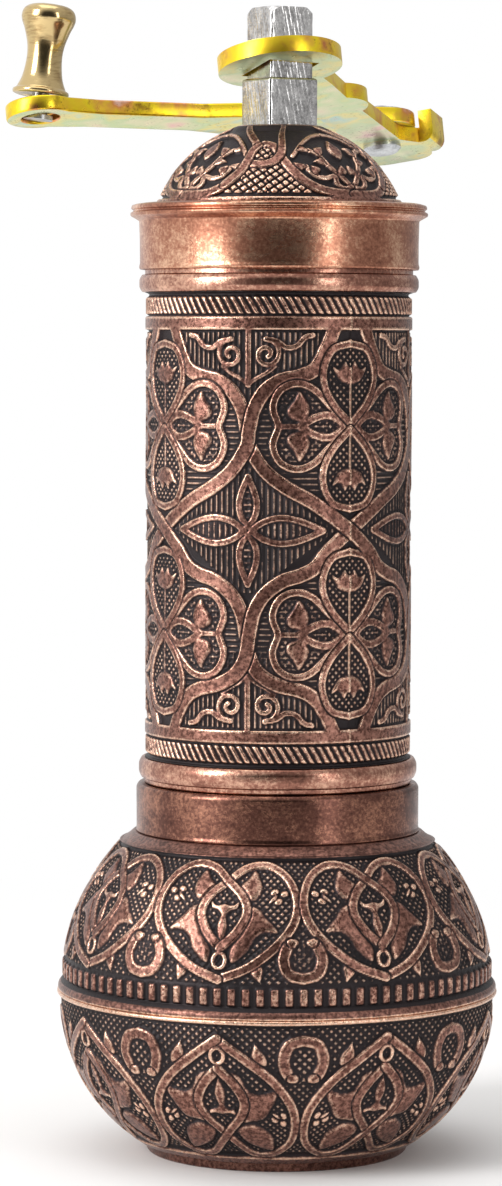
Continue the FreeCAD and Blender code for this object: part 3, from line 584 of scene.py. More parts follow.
def turnedPiece(name, profile, angles, depth=None, layers=None, tilt=None):
    # a closed profile (radius, height) carried round the axis: x = r sin a, y = -r cos a, so 0 is the front;
    # depth sinks the surface along the profile's normal. A part of a turn is closed by its two end faces.
    n, full = len(profile), abs(angles[-1] - angles[0]) > 2 * math.pi - 1e-6
    if full:
        angles = angles[:-1]
    m = len(angles)
    tangent = np.roll(profile, -1, 0) - np.roll(profile, 1, 0)
    tangent /= np.maximum(np.linalg.norm(tangent, axis=1), 1e-9)[:, None]
    sunk = np.zeros((n, m)) if depth is None else depth[:, :m]
    radius = profile[:, :1] - sunk * tangent[:, 1:]
    height = profile[:, 1:] + sunk * tangent[:, :1]
    points = np.stack([radius * np.sin(angles), -radius * np.cos(angles), height + 0 * angles], axis=-1)
    points = points.reshape(-1, 3)
    if tilt is not None:
        points = points @ tilt[0].T + tilt[1]
    index = np.arange(n * m).reshape(n, m)
    right = np.roll(index, -1, 1) if full else index[:, 1:]
    left = index if full else index[:, :-1]
    quads = np.stack([left, right, np.roll(right, -1, 0), np.roll(left, -1, 0)], axis=-1).reshape(-1, 4)
    caps = () if full else (index[:, 0], index[::-1, -1])
    sharp = None
    if not full:
        ends = np.zeros((n, m), bool)
        ends[:, (0, -1)] = True
        sharp = ends.ravel()
    shaped = {key: values[:, :m] for key, values in (layers or {}).items()}
    piece = meshFrom(name, points, quads, caps, shaped, sharp)
    if profile[:, 0].min() < 0.001:
        closePoles(piece)
    return piece


plainRelief = 0.85    # relief of metal without chasing: a little patina, no dark ground


def wholeTurn(count):
    return np.linspace(-math.pi, math.pi, count + 1)


def plainTurned(name, profile, count, wave, seed, tilt=None):
    # a piece turned from its profile, with the casting's unevenness sunk into it
    angles = wholeTurn(count)
    around, up = np.meshgrid(angles, profile[:, 1])
    depth = wave * unevenness(around, up * 2.2, seed)
    depth[:, -1] = depth[:, 0]
    layers = {"relief": np.full(depth.shape, plainRelief), "wear": np.zeros(depth.shape)}
    return turnedPiece(name, profile, angles, depth, layers, tilt)


# sizes of the castings, read off the CAD pieces where they have a box

castShape = {
    "deep": 0.48,           # how far the chased ground lies under the surface
    "reedDeep": 0.42,
    "slack": 0.07,          # unevenness of the bulb's castings
    "flash": 0.09,          # ridge left where the mould's halves meet
    "grid": 0.13,           # spacing of the barrel's relief
    "bulbGrid": 0.165,
    "domeGrid": 0.135,
    "columnsPerReed": 11,
    "reedRows": 16,
    "tubeTurn": math.radians(31.6),     # a quatrefoil's middle, where the mould's halves meet
    "bulbTurn": math.radians(-15.9),    # a heart's middle
    "domeTurn": math.radians(-6.5),     # a knot's middle
}

lowBowlBox, upBowlBox, barrelBox, capBox = (
    np.array(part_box(node)) / mm for node in ("lower_bowl", "upper_bowl", "barrel", "cap"))

bulbRadius = lowBowlBox[1][0]
rimRadius = bulbRadius - 0.35
reedRadius = 26.9
lipRadius = 25.55
lipHeight = 1.4
seamHeight = upBowlBox[0][2] + lipHeight
collarTop = upBowlBox[1][2]
collarRadius = 17.65
collarBore = 16.0
tubeRadius = 16.6
beadRadius = barrelBox[1][0]
boreRadius = 14.4
seatRadius = 14.8
neckRadius = 16.65
spigotRadius = 15.9
spigotFoot = barrelBox[0][2]
spigotHead = barrelBox[1][2]
tubeFoot = collarTop + 0.7
tubeHead = tubeFoot + 62.4
capSeat = capBox[0][2]
flangeFoot = capSeat + 6.0
domeBase = capSeat + 8.0
domeTop = capSeat + 18.2
domeSphere = 16.43
domeRadius = 15.2
holeRadius = 5.2
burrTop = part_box("outer_burr")[1][2] / mm


def layersFor(rows, columns, first, relief):
    # relief and wear over the whole profile: plain metal everywhere but in the chased rows
    height, wear = np.full((rows, columns), plainRelief), np.zeros((rows, columns))
    height[first:first + relief.shape[0]] = relief
    return {"relief": height, "wear": wear}


def chase(draw, width, span, columns, rows, repeats, start=0.0):
    # one repeat is drawn and then laid side by side; returns its height and its wear
    relief = Relief(np.linspace(start, start + width, columns), np.linspace(*span, rows))
    draw(relief)
    wear = relief.wear(3)
    height = np.hstack([relief.height[:, :-1]] * repeats + [relief.height[:, -1:]])
    wear = np.hstack([wear[:, :-1]] * repeats + [wear[:, -1:]])
    return height, wear


def buildTube():
    s, o = castShape, tubeOrnament
    low, high = tubeFoot + 2.5, tubeHead - 2.2
    middle = (low + high) / 2
    rows = int((high - low) / s["grid"]) + 1
    columns = int(o["width"] / s["grid"]) + 1
    height, wear = chase(drawTubePanel, o["width"], (low - middle, high - middle), columns, rows, 1)
    z = np.linspace(low, high, rows)
    inner = [(boreRadius, up) for up in np.linspace(high, burrTop, 8)]
    inner += [(seatRadius, burrTop - 0.02), (seatRadius, low)]
    profile = np.vstack([np.column_stack([np.full(rows, tubeRadius), z]), inner])
    ease = smoothStep((np.minimum(z - low, high - z) + 0.02) / 0.25)[:, None]
    pieces = []
    for quarter in range(4):
        angles = s["tubeTurn"] + np.linspace(0, math.pi / 2, columns) + (quarter - 2) * math.pi / 2
        depth = np.zeros((len(profile), columns))
        slack = 0.06 * unevenness(angles[None, :], z[:, None], 3)
        mould = (angles - s["tubeTurn"] + math.pi / 2) % math.pi - math.pi / 2
        ridge = np.exp(-(mould * tubeRadius / 0.12) ** 2)[None, :]
        depth[:rows] = s["deep"] * (1 - height) * ease + slack - s["flash"] * ridge
        layers = layersFor(len(profile), columns, 0, height)
        layers["wear"][:rows] = wear + 0.4 * ridge
        pieces.append(turnedPiece(f"tube_relief_{quarter + 1}", profile, angles, depth, layers))
    footRing = [(seatRadius, spigotFoot), (spigotRadius, spigotFoot), (spigotRadius, collarTop),
                (neckRadius, collarTop), (neckRadius, tubeFoot), (beadRadius - 0.3, tubeFoot),
                (beadRadius, tubeFoot + 0.7), (beadRadius, low - 0.7), (beadRadius - 0.35, low),
                (seatRadius, low)]
    headRing = [(boreRadius, high), (beadRadius - 0.35, high), (beadRadius, high + 0.6),
                (beadRadius, tubeHead - 0.6), (beadRadius - 0.35, tubeHead), (neckRadius, tubeHead),
                (neckRadius, capSeat), (spigotRadius, capSeat), (spigotRadius, spigotHead - 0.4),
                (spigotRadius - 0.4, spigotHead), (boreRadius, spigotHead)]
    pieces.append(plainTurned("tube_foot_bead", softCorners(footRing, 0.5), 200, 0.05, 1))
    pieces.append(plainTurned("tube_head_bead", softCorners(headRing, 0.5), 200, 0.05, 2))
    return pieces


def halfTurns(count, turn):
    # two halves of a turn that start beside the silhouette and share their end angles
    first = turn - math.pi / 2
    return [first + np.linspace(0, math.pi, count) + k * math.pi for k in range(2)]


def chaseBulb(draw, arcLength):
    # four hearts over half a turn, on a grid whose columns suit the reeds too
    s, o = castShape, bulbOrnament
    columns = o["reeds"] // 2 * s["columnsPerReed"] + 1
    rows = int(arcLength / s["bulbGrid"]) + 1
    height, wear = chase(draw, o["width"], (0, arcLength), (columns - 1) // 4 + 1, rows, 4)
    return rows, columns, height, wear


def bulbHalf(profile, angles, first, height, wear, worked, seed):
    # depth and layers of half a bowl whose chased rows begin at first; the rows called worked are uneven
    s = castShape
    depth = np.zeros((len(profile), len(angles)))
    chased = slice(first, first + len(height))
    depth[chased] = s["deep"] * (1 - height)
    depth[worked] += s["slack"] * unevenness(angles[None, :], profile[worked, 1:], seed)
    layers = layersFor(len(profile), len(angles), first, height)
    layers["wear"][chased] = wear
    return depth, layers


def buildUpperBowl():
    s, o = castShape, bulbOrnament
    reedFoot, reedHead, shoulder = seamHeight + 1.4, seamHeight + 4.1, collarTop - 7.2
    rows, columns, height, wear = chaseBulb(drawUpperBulb, 16.5)
    arcPart = bowedLine((reedRadius, reedHead), (19.7, shoulder), 1.2, rows)
    reedPart = [(reedRadius, up) for up in np.linspace(reedFoot, reedHead, s["reedRows"], endpoint=False)]
    seam = bowedLine((rimRadius + 0.1, seamHeight), (rimRadius - 0.1, seamHeight + 0.95), 0.16, 7)
    beadPart = np.vstack([seam, [(reedRadius + 0.05, seamHeight + 1.05), (reedRadius, reedFoot - 0.03)]])
    plate = [(19.72, shoulder + 0.06), (19.5, shoulder + 0.12), (19.42, shoulder + 0.02),
             (19.3, shoulder + 0.22), (18.7, shoulder + 0.6), (18.15, shoulder + 1.1),
             (17.95, shoulder + 1.2), (17.7, shoulder + 1.15)]
    seat = shoulder + 1.15
    mouth = [(collarBore, seat), (collarBore, shoulder - 1.7), (17.9, shoulder - 1.7)]
    roof = bowedLine((lipRadius - 1, seamHeight + lipHeight), (18.0, shoulder - 1.75), 1.2, 12)[::-1]
    lip = [(lipRadius - 1, seamHeight - lipHeight), (25.5, seamHeight - lipHeight), (lipRadius, seamHeight)]
    profile = np.vstack([beadPart, reedPart, arcPart, plate, mouth, roof, lip])
    first = len(beadPart) + len(reedPart)
    reeded = slice(len(beadPart), first)
    # a reed is a cosine ridge that fades out over its first and last rows
    wave = 0.5 + 0.5 * np.cos(o["reeds"] * np.linspace(0, math.pi, columns))
    fromEnd = np.minimum(np.arange(s["reedRows"]), s["reedRows"] - 1 - np.arange(s["reedRows"]))
    reed = smoothStep(wave * 1.7 - 0.2)[None, :] * smoothStep(fromEnd / 2.5)[:, None]
    worked = slice(0, first + rows + len(plate) - 1)
    pieces = []
    for half, angles in enumerate(halfTurns(columns, s["bulbTurn"])):
        depth, layers = bulbHalf(profile, angles, first, height, wear, worked, 5)
        depth[reeded] += s["reedDeep"] * (1 - reed)
        layers["relief"][reeded] = reed
        layers["wear"][reeded] = 0.25 * (reed - 0.4)
        layers["relief"][len(seam):len(beadPart)] = 0.2
        layers["wear"][:2] = 0.3
        pieces.append(turnedPiece(f"upper_bowl_relief_{half + 1}", profile, angles, depth, layers))
    ring = [(collarBore, seat + 0.02), (collarRadius, seat + 0.02), (collarRadius + 0.05, seat + 0.25),
            (collarRadius - 0.03, seat + 0.6), (collarRadius, collarTop - 0.5),
            (collarRadius - 0.3, collarTop), (collarBore + 0.35, collarTop), (collarBore, collarTop - 0.4)]
    pieces.append(plainTurned("upper_bowl_collar", softCorners(ring, 0.3), 240, 0.06, 4))
    return pieces


def buildLowerBowl():
    s = castShape
    rows, columns, height, wear = chaseBulb(drawLowerBulb, 22.0)
    foot = [(0.0, 0.0), (6.0, 0.0), (6.0, 0.9), (13.7, 0.9), (13.7, 0.0), (16.1, 0.0), (16.3, 0.2),
            (16.3, 0.95), (16.5, 1.15)]
    arcPart = bowedLine((17.2, 1.2), (rimRadius + 0.06, seamHeight - 0.66), 2.75, rows)
    groove = [(rimRadius + 0.05, seamHeight - 0.6)]
    lip = bowedLine((rimRadius + 0.1, seamHeight - 0.58), (rimRadius + 0.1, seamHeight), 0.2, 7)
    lipFoot = seamHeight - 1.5
    hollow = bowedLine((15.5, 3.4), (25.5, lipFoot - 0.1), 2.6, 12)[::-1]
    bottom = [(15.2, 3.4), (0.0, 3.4)]
    profile = np.vstack([foot, arcPart, groove, lip, [(lipRadius, seamHeight), (lipRadius, lipFoot)],
                         hollow, bottom])
    first = len(foot)
    beyond = first + rows
    worked = slice(first - 3, beyond + 1 + len(lip))
    pieces = []
    for half, angles in enumerate(halfTurns(columns, s["bulbTurn"])):
        depth, layers = bulbHalf(profile, angles, first, height, wear, worked, 7)
        layers["relief"][beyond] = 0.2
        layers["wear"][beyond + 1:beyond + 1 + len(lip)] = 0.35
        pieces.append(turnedPiece(f"lower_bowl_relief_{half + 1}", profile, angles, depth, layers))
    return pieces


def buildCap():
    s, o = castShape, domeOrnament
    centre = domeTop - domeSphere
    columns = int(math.pi * domeRadius / s["domeGrid"]) // 2 * 2 + 1
    base, hole = math.asin(domeRadius / domeSphere), math.asin(holeRadius / domeSphere)
    rows = int(domeSphere * (base - hole) / s["domeGrid"]) + 1
    perRepeat = (columns - 1) // 2 + 1
    height, wear = chase(drawDome, o["width"], (0, o["tall"]), perRepeat, rows, 2, o["width"] / 2)
    polar = np.linspace(base, hole, rows)
    arcPart = np.column_stack([domeSphere * np.sin(polar), centre + domeSphere * np.cos(polar)])
    bore = [(holeRadius, arcPart[-1, 1] - 0.6), (holeRadius, domeTop - 6.25), (7.2, domeTop - 6.3)]
    ball = domeSphere - 1.8
    inner = np.linspace(math.asin(7.2 / ball), 1.04, 8)
    wall = np.column_stack([ball * np.sin(inner), centre + ball * np.cos(inner)])
    foot = [(12.6, domeBase - 0.46), (15.0, domeBase - 0.46), (domeRadius, domeBase - 0.45)]
    profile = np.vstack([arcPart, bore, wall, foot])
    # the chasing fades out towards the hole
    fade = smoothStep((domeSphere * np.sin(polar) - holeRadius - 0.2) / 1.2)[:, None]
    pieces = []
    for half, angles in enumerate(halfTurns(columns, s["domeTurn"])):
        depth = np.zeros((len(profile), columns))
        slack = 0.05 * unevenness(angles[None, :], 9 * polar[:, None], 9)
        depth[:rows] = s["deep"] * (1 - height) * fade + slack
        layers = layersFor(len(profile), columns, 0, height)
        layers["wear"][:rows] = wear
        pieces.append(turnedPiece(f"dome_relief_{half + 1}", profile, angles, depth, layers))
    skirt = [(collarBore, capSeat), (16.75, capSeat), (16.75, capSeat - 0.42), (17.3, capSeat - 0.42),
             (17.42, capSeat - 0.1), (17.3, capSeat + 0.35), (17.32, capSeat + 3.0), (17.4, flangeFoot - 0.4)]
    flange = [(17.75, flangeFoot - 0.2), (18.45, flangeFoot + 0.2), (18.5, flangeFoot + 0.6),
              (18.05, flangeFoot + 0.85), (18.4, flangeFoot + 1.1), (18.3, flangeFoot + 1.55),
              (17.5, flangeFoot + 1.8), (16.2, domeBase - 0.42), (15.0, domeBase - 0.42)]
    inside = [(15.0, domeBase - 0.6), (12.6, domeBase - 0.6), (12.6, capSeat + 4.4),
              (collarBore, capSeat + 4.4)]
    pieces.append(plainTurned("cap_band", softCorners(skirt + flange + inside, 0.3), 240, 0.07, 11))
    return pieces


# the steel mill and the folding crank

spindleShape = {
    "block": 7.0,          # widths of the two squares that show
    "grip": 6.1,
    "journal": 3.4,        # radii of the round stretches
    "clip": 2.9,
    "thread": 2.1,
    "coneFoot": 49.05,     # heights where one stretch ends and the next begins
    "coneHead": 62.9,
    "clipFoot": 104.1,
    "clipHead": 104.9,
    "blockFoot": 108.84,
    "turn": math.radians(30.0),
    "worn": 0.34,          # rounding of the bar's corners
    "pounded": 0.05,       # unevenness of the drawn faces
    "crownRadius": 3.4,    # the turned chamfer at the bar's end
    "crownSlope": 1.0,
}

stampedBevel = 0.32    # rounding of the crank plates' edges

fold, spin = (next(j for j in frame["joints"] if j["name"] == name) for name in ("arm_fold", "knob_spin"))


def squareOutline(angle, half, corner):
    # distance from the axis to a square with worn corners: the curve |x|^p + |y|^p = half^p, with the p that
    # takes as much off the corner as rounding it would
    lost = 0.293 * corner
    power = -math.log(2) / np.log(1 - lost / half)
    return half / (abs(np.cos(angle)) ** power + abs(np.sin(angle)) ** power) ** (1 / power)


def buildSpindle():
    # the bar's section runs from square to round up its length: r = mix(round, square, share)
    s = spindleShape
    foot, top = (corner[2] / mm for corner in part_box("spindle"))
    blockHead = top - 8.7
    thread, journal, clip = s["thread"], s["journal"], s["clip"]
    block, grip = s["block"] / 2, s["grip"] / 2
    # height, half width of the square, radius of the round, share of square
    stations = [(foot, thread, 1.7, 0), (foot + 0.4, thread, thread, 0), (s["coneFoot"], thread, thread, 0),
                (s["coneFoot"] + 0.1, thread, thread, 1), (s["coneHead"], thread, thread, 1),
                (s["coneHead"] + 0.06, thread, journal, 0), (s["clipFoot"], thread, journal, 0),
                (s["clipFoot"] + 0.06, thread, clip, 0), (s["clipHead"], thread, clip, 0),
                (s["clipHead"] + 0.05, thread, journal, 0), (s["blockFoot"], thread, journal, 0),
                (s["blockFoot"] + 0.02, block, journal, 1), (s["blockFoot"] + 0.46, block, journal, 1)]
    stations += [(up, block, journal, 1) for up in np.linspace(110, blockHead - 0.4, 60)]
    stations += [(blockHead - 0.3, block, journal, 1), (blockHead - 0.1, block - 0.08, journal, 1),
                 (blockHead, block - 0.3, journal, 1), (blockHead + 0.02, grip, journal, 1)]
    for low, high, count in ((blockHead + 0.15, top - 1.0, 36), (top - 0.95, top, 20)):
        stations += [(up, grip, journal, 1) for up in np.linspace(low, high, count)]
    z, half, circle, share = np.array(stations).T[:, :, None]
    angles = wholeTurn(320)[:-1]
    radius = share * squareOutline(angles, half, s["worn"]) + (1 - share) * circle
    exposed = smoothStep((z - 109) / 2)
    radius -= exposed * s["pounded"] * unevenness(6 * angles[None, :], 9 * z, 13)
    radius = np.minimum(radius, s["crownRadius"] + (top - z) * s["crownSlope"])
    turn = angles + s["turn"]
    points = np.stack([radius * np.cos(turn), radius * np.sin(turn), z + 0 * radius], axis=-1)
    index = np.arange(radius.size).reshape(radius.shape)
    right = np.roll(index, -1, 1)
    quads = np.stack([index[:-1], right[:-1], right[1:], index[1:]], axis=-1).reshape(-1, 4)
    piece = meshFrom("spindle_bar", points.reshape(-1, 3), quads, (index[0, ::-1], index[-1]))
    piece.data.set_sharp_from_angle(angle=math.radians(50))
    return piece


def axisTilt(direction, foot):
    # turns the upright axis onto a direction and moves the origin to the foot
    up = np.asarray(direction, float) / np.linalg.norm(direction)
    right = np.cross((0.0, 1.0, 0.0), up)
    right /= np.linalg.norm(right)
    return np.column_stack([right, np.cross(up, right), up]), np.asarray(foot, float)


def buildKnob():
    # turned profile on its leaning axis, from the bored foot up to the crown
    stand, tall = 1.15, 11.7
    bore = [(0.02, 6.0), (1.15, 5.9), (1.15, 0.0)]
    rim = [(3.3, 0.0), (3.6, 0.12), (3.65, 0.35), (3.6, 0.6), (3.4, 0.72), (3.2, 0.82)]
    side = smoothPath([(3.15, 0.95), (2.6, 2.4), (2.3, 4.6), (2.4, 6.4), (2.9, 8.2), (3.35, 9.3)], 8)
    crown = smoothPath([(3.35, 9.3), (3.5, 9.9), (3.42, 10.6), (3.1, 11.15), (2.4, 11.55), (1.3, 11.68),
                        (0.02, tall)])
    profile = np.vstack([bore, rim, side, crown[1:]]) + (0, stand)
    tilt = axisTilt(spin["axis"], np.array(spin["pos_m"]) / mm)
    return plainTurned("knob_turned", profile, 144, 0.03, 17, tilt)


def softenedCopy(node, name, bevel):
    # a merged copy of a stamped piece with its edges rolled over; rim is 1 on the faces along its cut edge
    piece = linked(name, nodes[node].data.copy())
    weld = piece.modifiers.new("weld", "WELD")
    weld.merge_threshold = 0.00001
    flat = piece.modifiers.new("flat", "DECIMATE")
    flat.decimate_type = "DISSOLVE"
    flat.angle_limit = math.radians(0.5)
    roll = piece.modifiers.new("edges", "BEVEL")
    roll.width = bevel * mm
    roll.segments = 3
    roll.limit_method = "ANGLE"
    roll.angle_limit = math.radians(40)
    evaluated = piece.evaluated_get(bpy.context.evaluated_depsgraph_get())
    finished = bpy.data.meshes.new_from_object(evaluated)
    piece.modifiers.clear()
    piece.data = finished
    finished.name = name
    facing = np.zeros(len(finished.polygons) * 3)
    finished.polygons.foreach_get("normal", facing)
    rim = abs(facing.reshape(-1, 3) @ np.array(fold["axis"])) < 0.75
    finished.attributes.new("rim", "FLOAT", "FACE").data.foreach_set("value", rim.astype(np.float32))
    finished.polygons.foreach_set("use_smooth", np.ones(len(finished.polygons), bool))
    finished.set_sharp_from_angle(angle=math.radians(35))
    piece.data.materials.clear()
    return piece


# finishes

def tone(*shades):
    # red, green and blue from 0 to 255 as linear light
    return tuple(((c / 255 + 0.055) / 1.055) ** 2.4 if c > 10 else c / 3295 for c in shades) + (1.0,)


class Term:
    # a shader socket that takes part in arithmetic

    def __init__(self, owner, socket):
        self.owner, self.socket = owner, socket

    def math(self, operation, first, second, clamp=False):
        return self.owner.node("ShaderNodeMath", {"operation": operation, "use_clamp": clamp},
                               {0: first, 1: second})

    def __add__(self, other):
        return self.math("ADD", self, other)

    def __sub__(self, other):
        return self.math("SUBTRACT", self, other)

    def __mul__(self, other):
        return self.math("MULTIPLY", self, other)

    def __rsub__(self, other):
        return self.math("SUBTRACT", other, self)

    __radd__ = __add__
    __rmul__ = __mul__

    def clamped(self):
        return self.math("ADD", self, 0.0, clamp=True)

    def above(self, edge, softness):
        # 0 below the edge and 1 above it, over the given softness
        return ((self - edge) * (1.0 / softness) + 0.5).clamped()


class Tree:
    # a node tree with one way of adding to it

    def __init__(self, tree):
        self.tree = tree
        tree.nodes.clear()

    def plug(self, value, socket):
        if isinstance(value, Term):
            self.tree.links.new(value.socket, socket)
        else:
            socket.default_value = value

    def node(self, kind, settings=None, inputs=None, output=0):
        node = self.tree.nodes.new(kind)
        for key, value in (settings or {}).items():
            setattr(node, key, value)
        for key, value in (inputs or {}).items():
            self.plug(value, node.inputs[key])
        return node if output is None else Term(self, node.outputs[output])


class Finish(Tree):
    # one material: its pattern coordinates and its shader

    def __init__(self, name, constants=None):
        self.material = bpy.data.materials.new(name)
        self.material.use_nodes = True
        super().__init__(self.material.node_tree)
        self.place = self.node("ShaderNodeTexCoord", output="Object")
        self.surface = self.node("ShaderNodeBsdfPrincipled")
        self.shader = self.surface.socket.node
        self.out = self.node("ShaderNodeOutputMaterial", inputs={0: self.surface}, output=None)
        for key, value in (constants or {}).items():
            self.shader.inputs[key].default_value = value

    def noise(self, size, detail=3.0, stretch=(1.0, 1.0, 1.0), roughness=0.55, shift=0.0):
        # noise whose features are about so many millimetres across, stretched along the axes
        scale = tuple(1.0 / (size * mm * k) for k in stretch)
        inputs = {"Vector": self.place, "Scale": scale, "Location": (shift, shift, shift)}
        moved = self.node("ShaderNodeMapping", {}, inputs)
        inputs = {"Vector": moved, "Scale": 1.0, "Detail": detail, "Roughness": roughness}
        return self.node("ShaderNodeTexNoise", {}, inputs)

    def layer(self, name):
        return self.node("ShaderNodeAttribute", {"attribute_name": name}, output="Fac")

    def ramp(self, factor, stops):
        # colours met in turn as the factor grows
        ramp = self.node("ShaderNodeValToRGB", {}, {"Fac": factor})
        band = ramp.socket.node.color_ramp
        while len(band.elements) < len(stops):
            band.elements.new(0.5)
        for element, (position, color) in zip(band.elements, stops):
            element.position, element.color = position, color
        return ramp

    def mix(self, factor, first, second):
        return self.node("ShaderNodeMix", {"data_type": "RGBA"}, {0: factor, 6: first, 7: second}, output=2)

    def bump(self, height, distance, strength):
        # distance in millimetres
        normal = self.node("ShaderNodeBump", {},
                           {"Height": height, "Distance": distance * mm, "Strength": strength})
        self.plug(normal, self.shader.inputs["Normal"])

    def paint(self, **sockets):
        for key, value in sockets.items():
            self.plug(value, self.shader.inputs[key.replace("_", " ")])


def antiqueCopper(name, worn=0.0):
    # dark patina in the chased ground, brown copper on the faces, bright copper where hands rub the edges
    f = Finish(name)
    relief, wear = f.layer("relief"), f.layer("wear")
    cloud, grain, speck = f.noise(9.0, 3.0), f.noise(0.5, 4.0, roughness=0.7), f.noise(0.2, 2.0, shift=3.0)
    face = (relief + wear * 0.4 + (cloud - 0.5) * 0.3 + (grain - 0.5) * 0.5 + worn).above(0.68, 0.5)
    edge = (wear * 2.4 + (cloud - 0.5) * 0.9 + (grain - 0.5) * 1.3 + worn - 0.05).above(0.5, 0.6)
    edge = edge * relief.above(0.4, 0.3)
    ground = f.mix(cloud.above(0.5, 0.4), tone(26, 20, 22), tone(44, 34, 36))
    brown = f.mix(grain.above(0.5, 0.2), tone(92, 61, 53), tone(158, 114, 100))
    bright = f.mix(speck.above(0.5, 0.3), tone(220, 166, 138), tone(254, 222, 196))
    color = f.mix(edge, f.mix(face, ground, brown), bright)
    rough = 0.48 - face * 0.2 - edge * 0.04 + (grain - 0.5) * 0.2
    f.paint(Base_Color=color, Metallic=face * 0.45 + 0.55, Roughness=rough)
    f.bump(grain * 0.7 + speck * 0.3, 0.1, 0.9)
    return f.material


def rubbedCopper(name, dark, mid, light):
    # plain turned bands: clouds of wear drawn out round them, with darker patina left in the dips
    f = Finish(name, {"Metallic": 1.0})
    cloud, grain = f.noise(8.0, 4.0), f.noise(0.4, 3.0, roughness=0.7)
    band = f.noise(2.0, 5.0, stretch=(1.0, 1.0, 0.5))
    shine = (band * 0.5 + cloud * 0.8 + (grain - 0.5) * 0.9 - 0.12).above(0.5, 0.6)
    color = f.mix((shine * 2.0).clamped(), dark, f.mix((shine * 2.0 - 1.0).clamped(), mid, light))
    f.paint(Base_Color=color, Roughness=0.34 - shine * 0.12 + (grain - 0.5) * 0.16)
    f.bump(band * 0.3 + grain * 0.7, 0.04, 0.6)
    return f.material


def scratchedSteel(name, dark, light, rough, dents=0.4):
    # drawn bar: shallow dents with sharp rims, fine scratches and pits
    f = Finish(name, {"Metallic": 1.0})
    cloud, pit = f.noise(2.2, 4.0), f.noise(0.3, 3.0, roughness=0.7)
    line = f.noise(0.9, 5.0, stretch=(0.4, 0.4, 1.0))
    level = (cloud * 0.8 + (line - 0.5) * 0.9 * dents + (pit - 0.5) * 0.6 + 0.1).above(0.5, 0.5)
    f.paint(Base_Color=f.mix(level, dark, light), Roughness=rough + 0.08 - level * 0.12 + (pit - 0.5) * 0.2)
    f.bump(cloud * 0.6 + line * 0.3 + pit * 0.1, 0.2 * dents, 0.8)
    return f.material


def passivatedSteel(name):
    # yellow chromate: gold along the cut edges, pale green, pink and cream on the flats, with brown specks
    f = Finish(name, {"Metallic": 1.0})
    rim = f.layer("rim")
    drift, cloud, speck = f.noise(9.0, 2.0, shift=7.0), f.noise(3.0, 4.0), f.noise(0.4, 3.0, roughness=0.75)
    stain = f.noise(5.0, 4.0, shift=2.0)
    hue = drift * 1.3 + (cloud - 0.5) * 0.4 - 0.15
    flat = f.ramp(hue, [(0.2, tone(230, 184, 178)), (0.34, tone(222, 214, 176)), (0.5, tone(196, 210, 162)),
                        (0.62, tone(228, 214, 138)), (0.74, tone(178, 208, 196)),
                        (0.86, tone(224, 184, 158))])
    hot = f.noise(4.5, 3.0, shift=5.0) * 1.3 - 0.15
    gold = f.ramp(hot, [(0.2, tone(206, 132, 84)), (0.34, tone(250, 208, 60)), (0.5, tone(250, 222, 52)),
                        (0.62, tone(236, 190, 70)), (0.72, tone(224, 150, 84)), (0.82, tone(236, 190, 170))])
    color = f.mix(rim, flat, gold)
    spots = speck.above(0.62, 0.08) * stain.above(0.52, 0.12)
    brown = stain.above(0.64, 0.1) * rim
    color = f.mix(brown * 0.75, color, tone(122, 74, 36))
    color = f.mix(spots * 0.6, color, tone(96, 60, 36))
    f.paint(Base_Color=color, Roughness=cloud * 0.2 + 0.2 + spots * 0.2)
    f.bump(cloud * 0.6 + speck * 0.4, 0.05, 0.5)
    return f.material


def turnedBrass(name):
    # fine rings from the lathe, dulled in clouds
    f = Finish(name, {"Metallic": 1.0})
    ring, cloud, grain = f.noise(1.5, 4.0, stretch=(1.0, 1.0, 0.2)), f.noise(4.0, 3.0), f.noise(0.35, 3.0)
    dull = (cloud * 0.8 + (ring - 0.5) * 0.6).above(0.56, 0.3)
    color = f.mix(dull, tone(214, 188, 136), tone(146, 112, 70))
    f.paint(Base_Color=color, Roughness=dull * 0.14 + 0.16 + (grain - 0.5) * 0.1)
    f.bump(ring * 0.7 + grain * 0.3, 0.03, 0.6)
    return f.material


def greyIron(name, dark, light):
    # dull steel that no one sees or polishes
    f = Finish(name, {"Metallic": 1.0})
    cloud, grain = f.noise(2.5, 4.0), f.noise(0.3, 3.0, roughness=0.7)
    level = (cloud * 0.6 + grain * 0.6 - 0.1).above(0.5, 0.4)
    f.paint(Base_Color=f.mix(level, dark, light), Roughness=0.5 - level * 0.15)
    f.bump(grain, 0.05, 0.5)
    return f.material


# putting the pieces on

def dress(pieces, material, body, slot, *replaced):
    for piece in pieces:
        piece.data.materials.clear()
        piece.data.materials.append(material)
        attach(piece, body)
        if replaced:
            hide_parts(*replaced)


copperChased = antiqueCopper("copper chased")
copperWarm = antiqueCopper("copper dome", worn=0.03)
bandCopper = rubbedCopper("copper band", tone(120, 76, 62), tone(178, 122, 98), tone(236, 190, 158))
collarCopper = rubbedCopper("copper collar", tone(66, 43, 38), tone(108, 72, 62), tone(176, 126, 104))
beadCopper = rubbedCopper("copper bead", tone(92, 62, 54), tone(156, 108, 92), tone(228, 182, 156))
spindleSteel = scratchedSteel("spindle steel", tone(122, 120, 120), tone(242, 240, 238), 0.2)
zincPlate = scratchedSteel("zinc plate", tone(150, 152, 154), tone(222, 224, 226), 0.32)
passivated = passivatedSteel("passivated steel")
knobBrass = turnedBrass("turned brass")
bushBrass = turnedBrass("bush brass")
springSteel = greyIron("spring steel", tone(70, 72, 76), tone(140, 142, 146))
burrSteel = greyIron("burr steel", tone(84, 84, 86), tone(160, 160, 160))

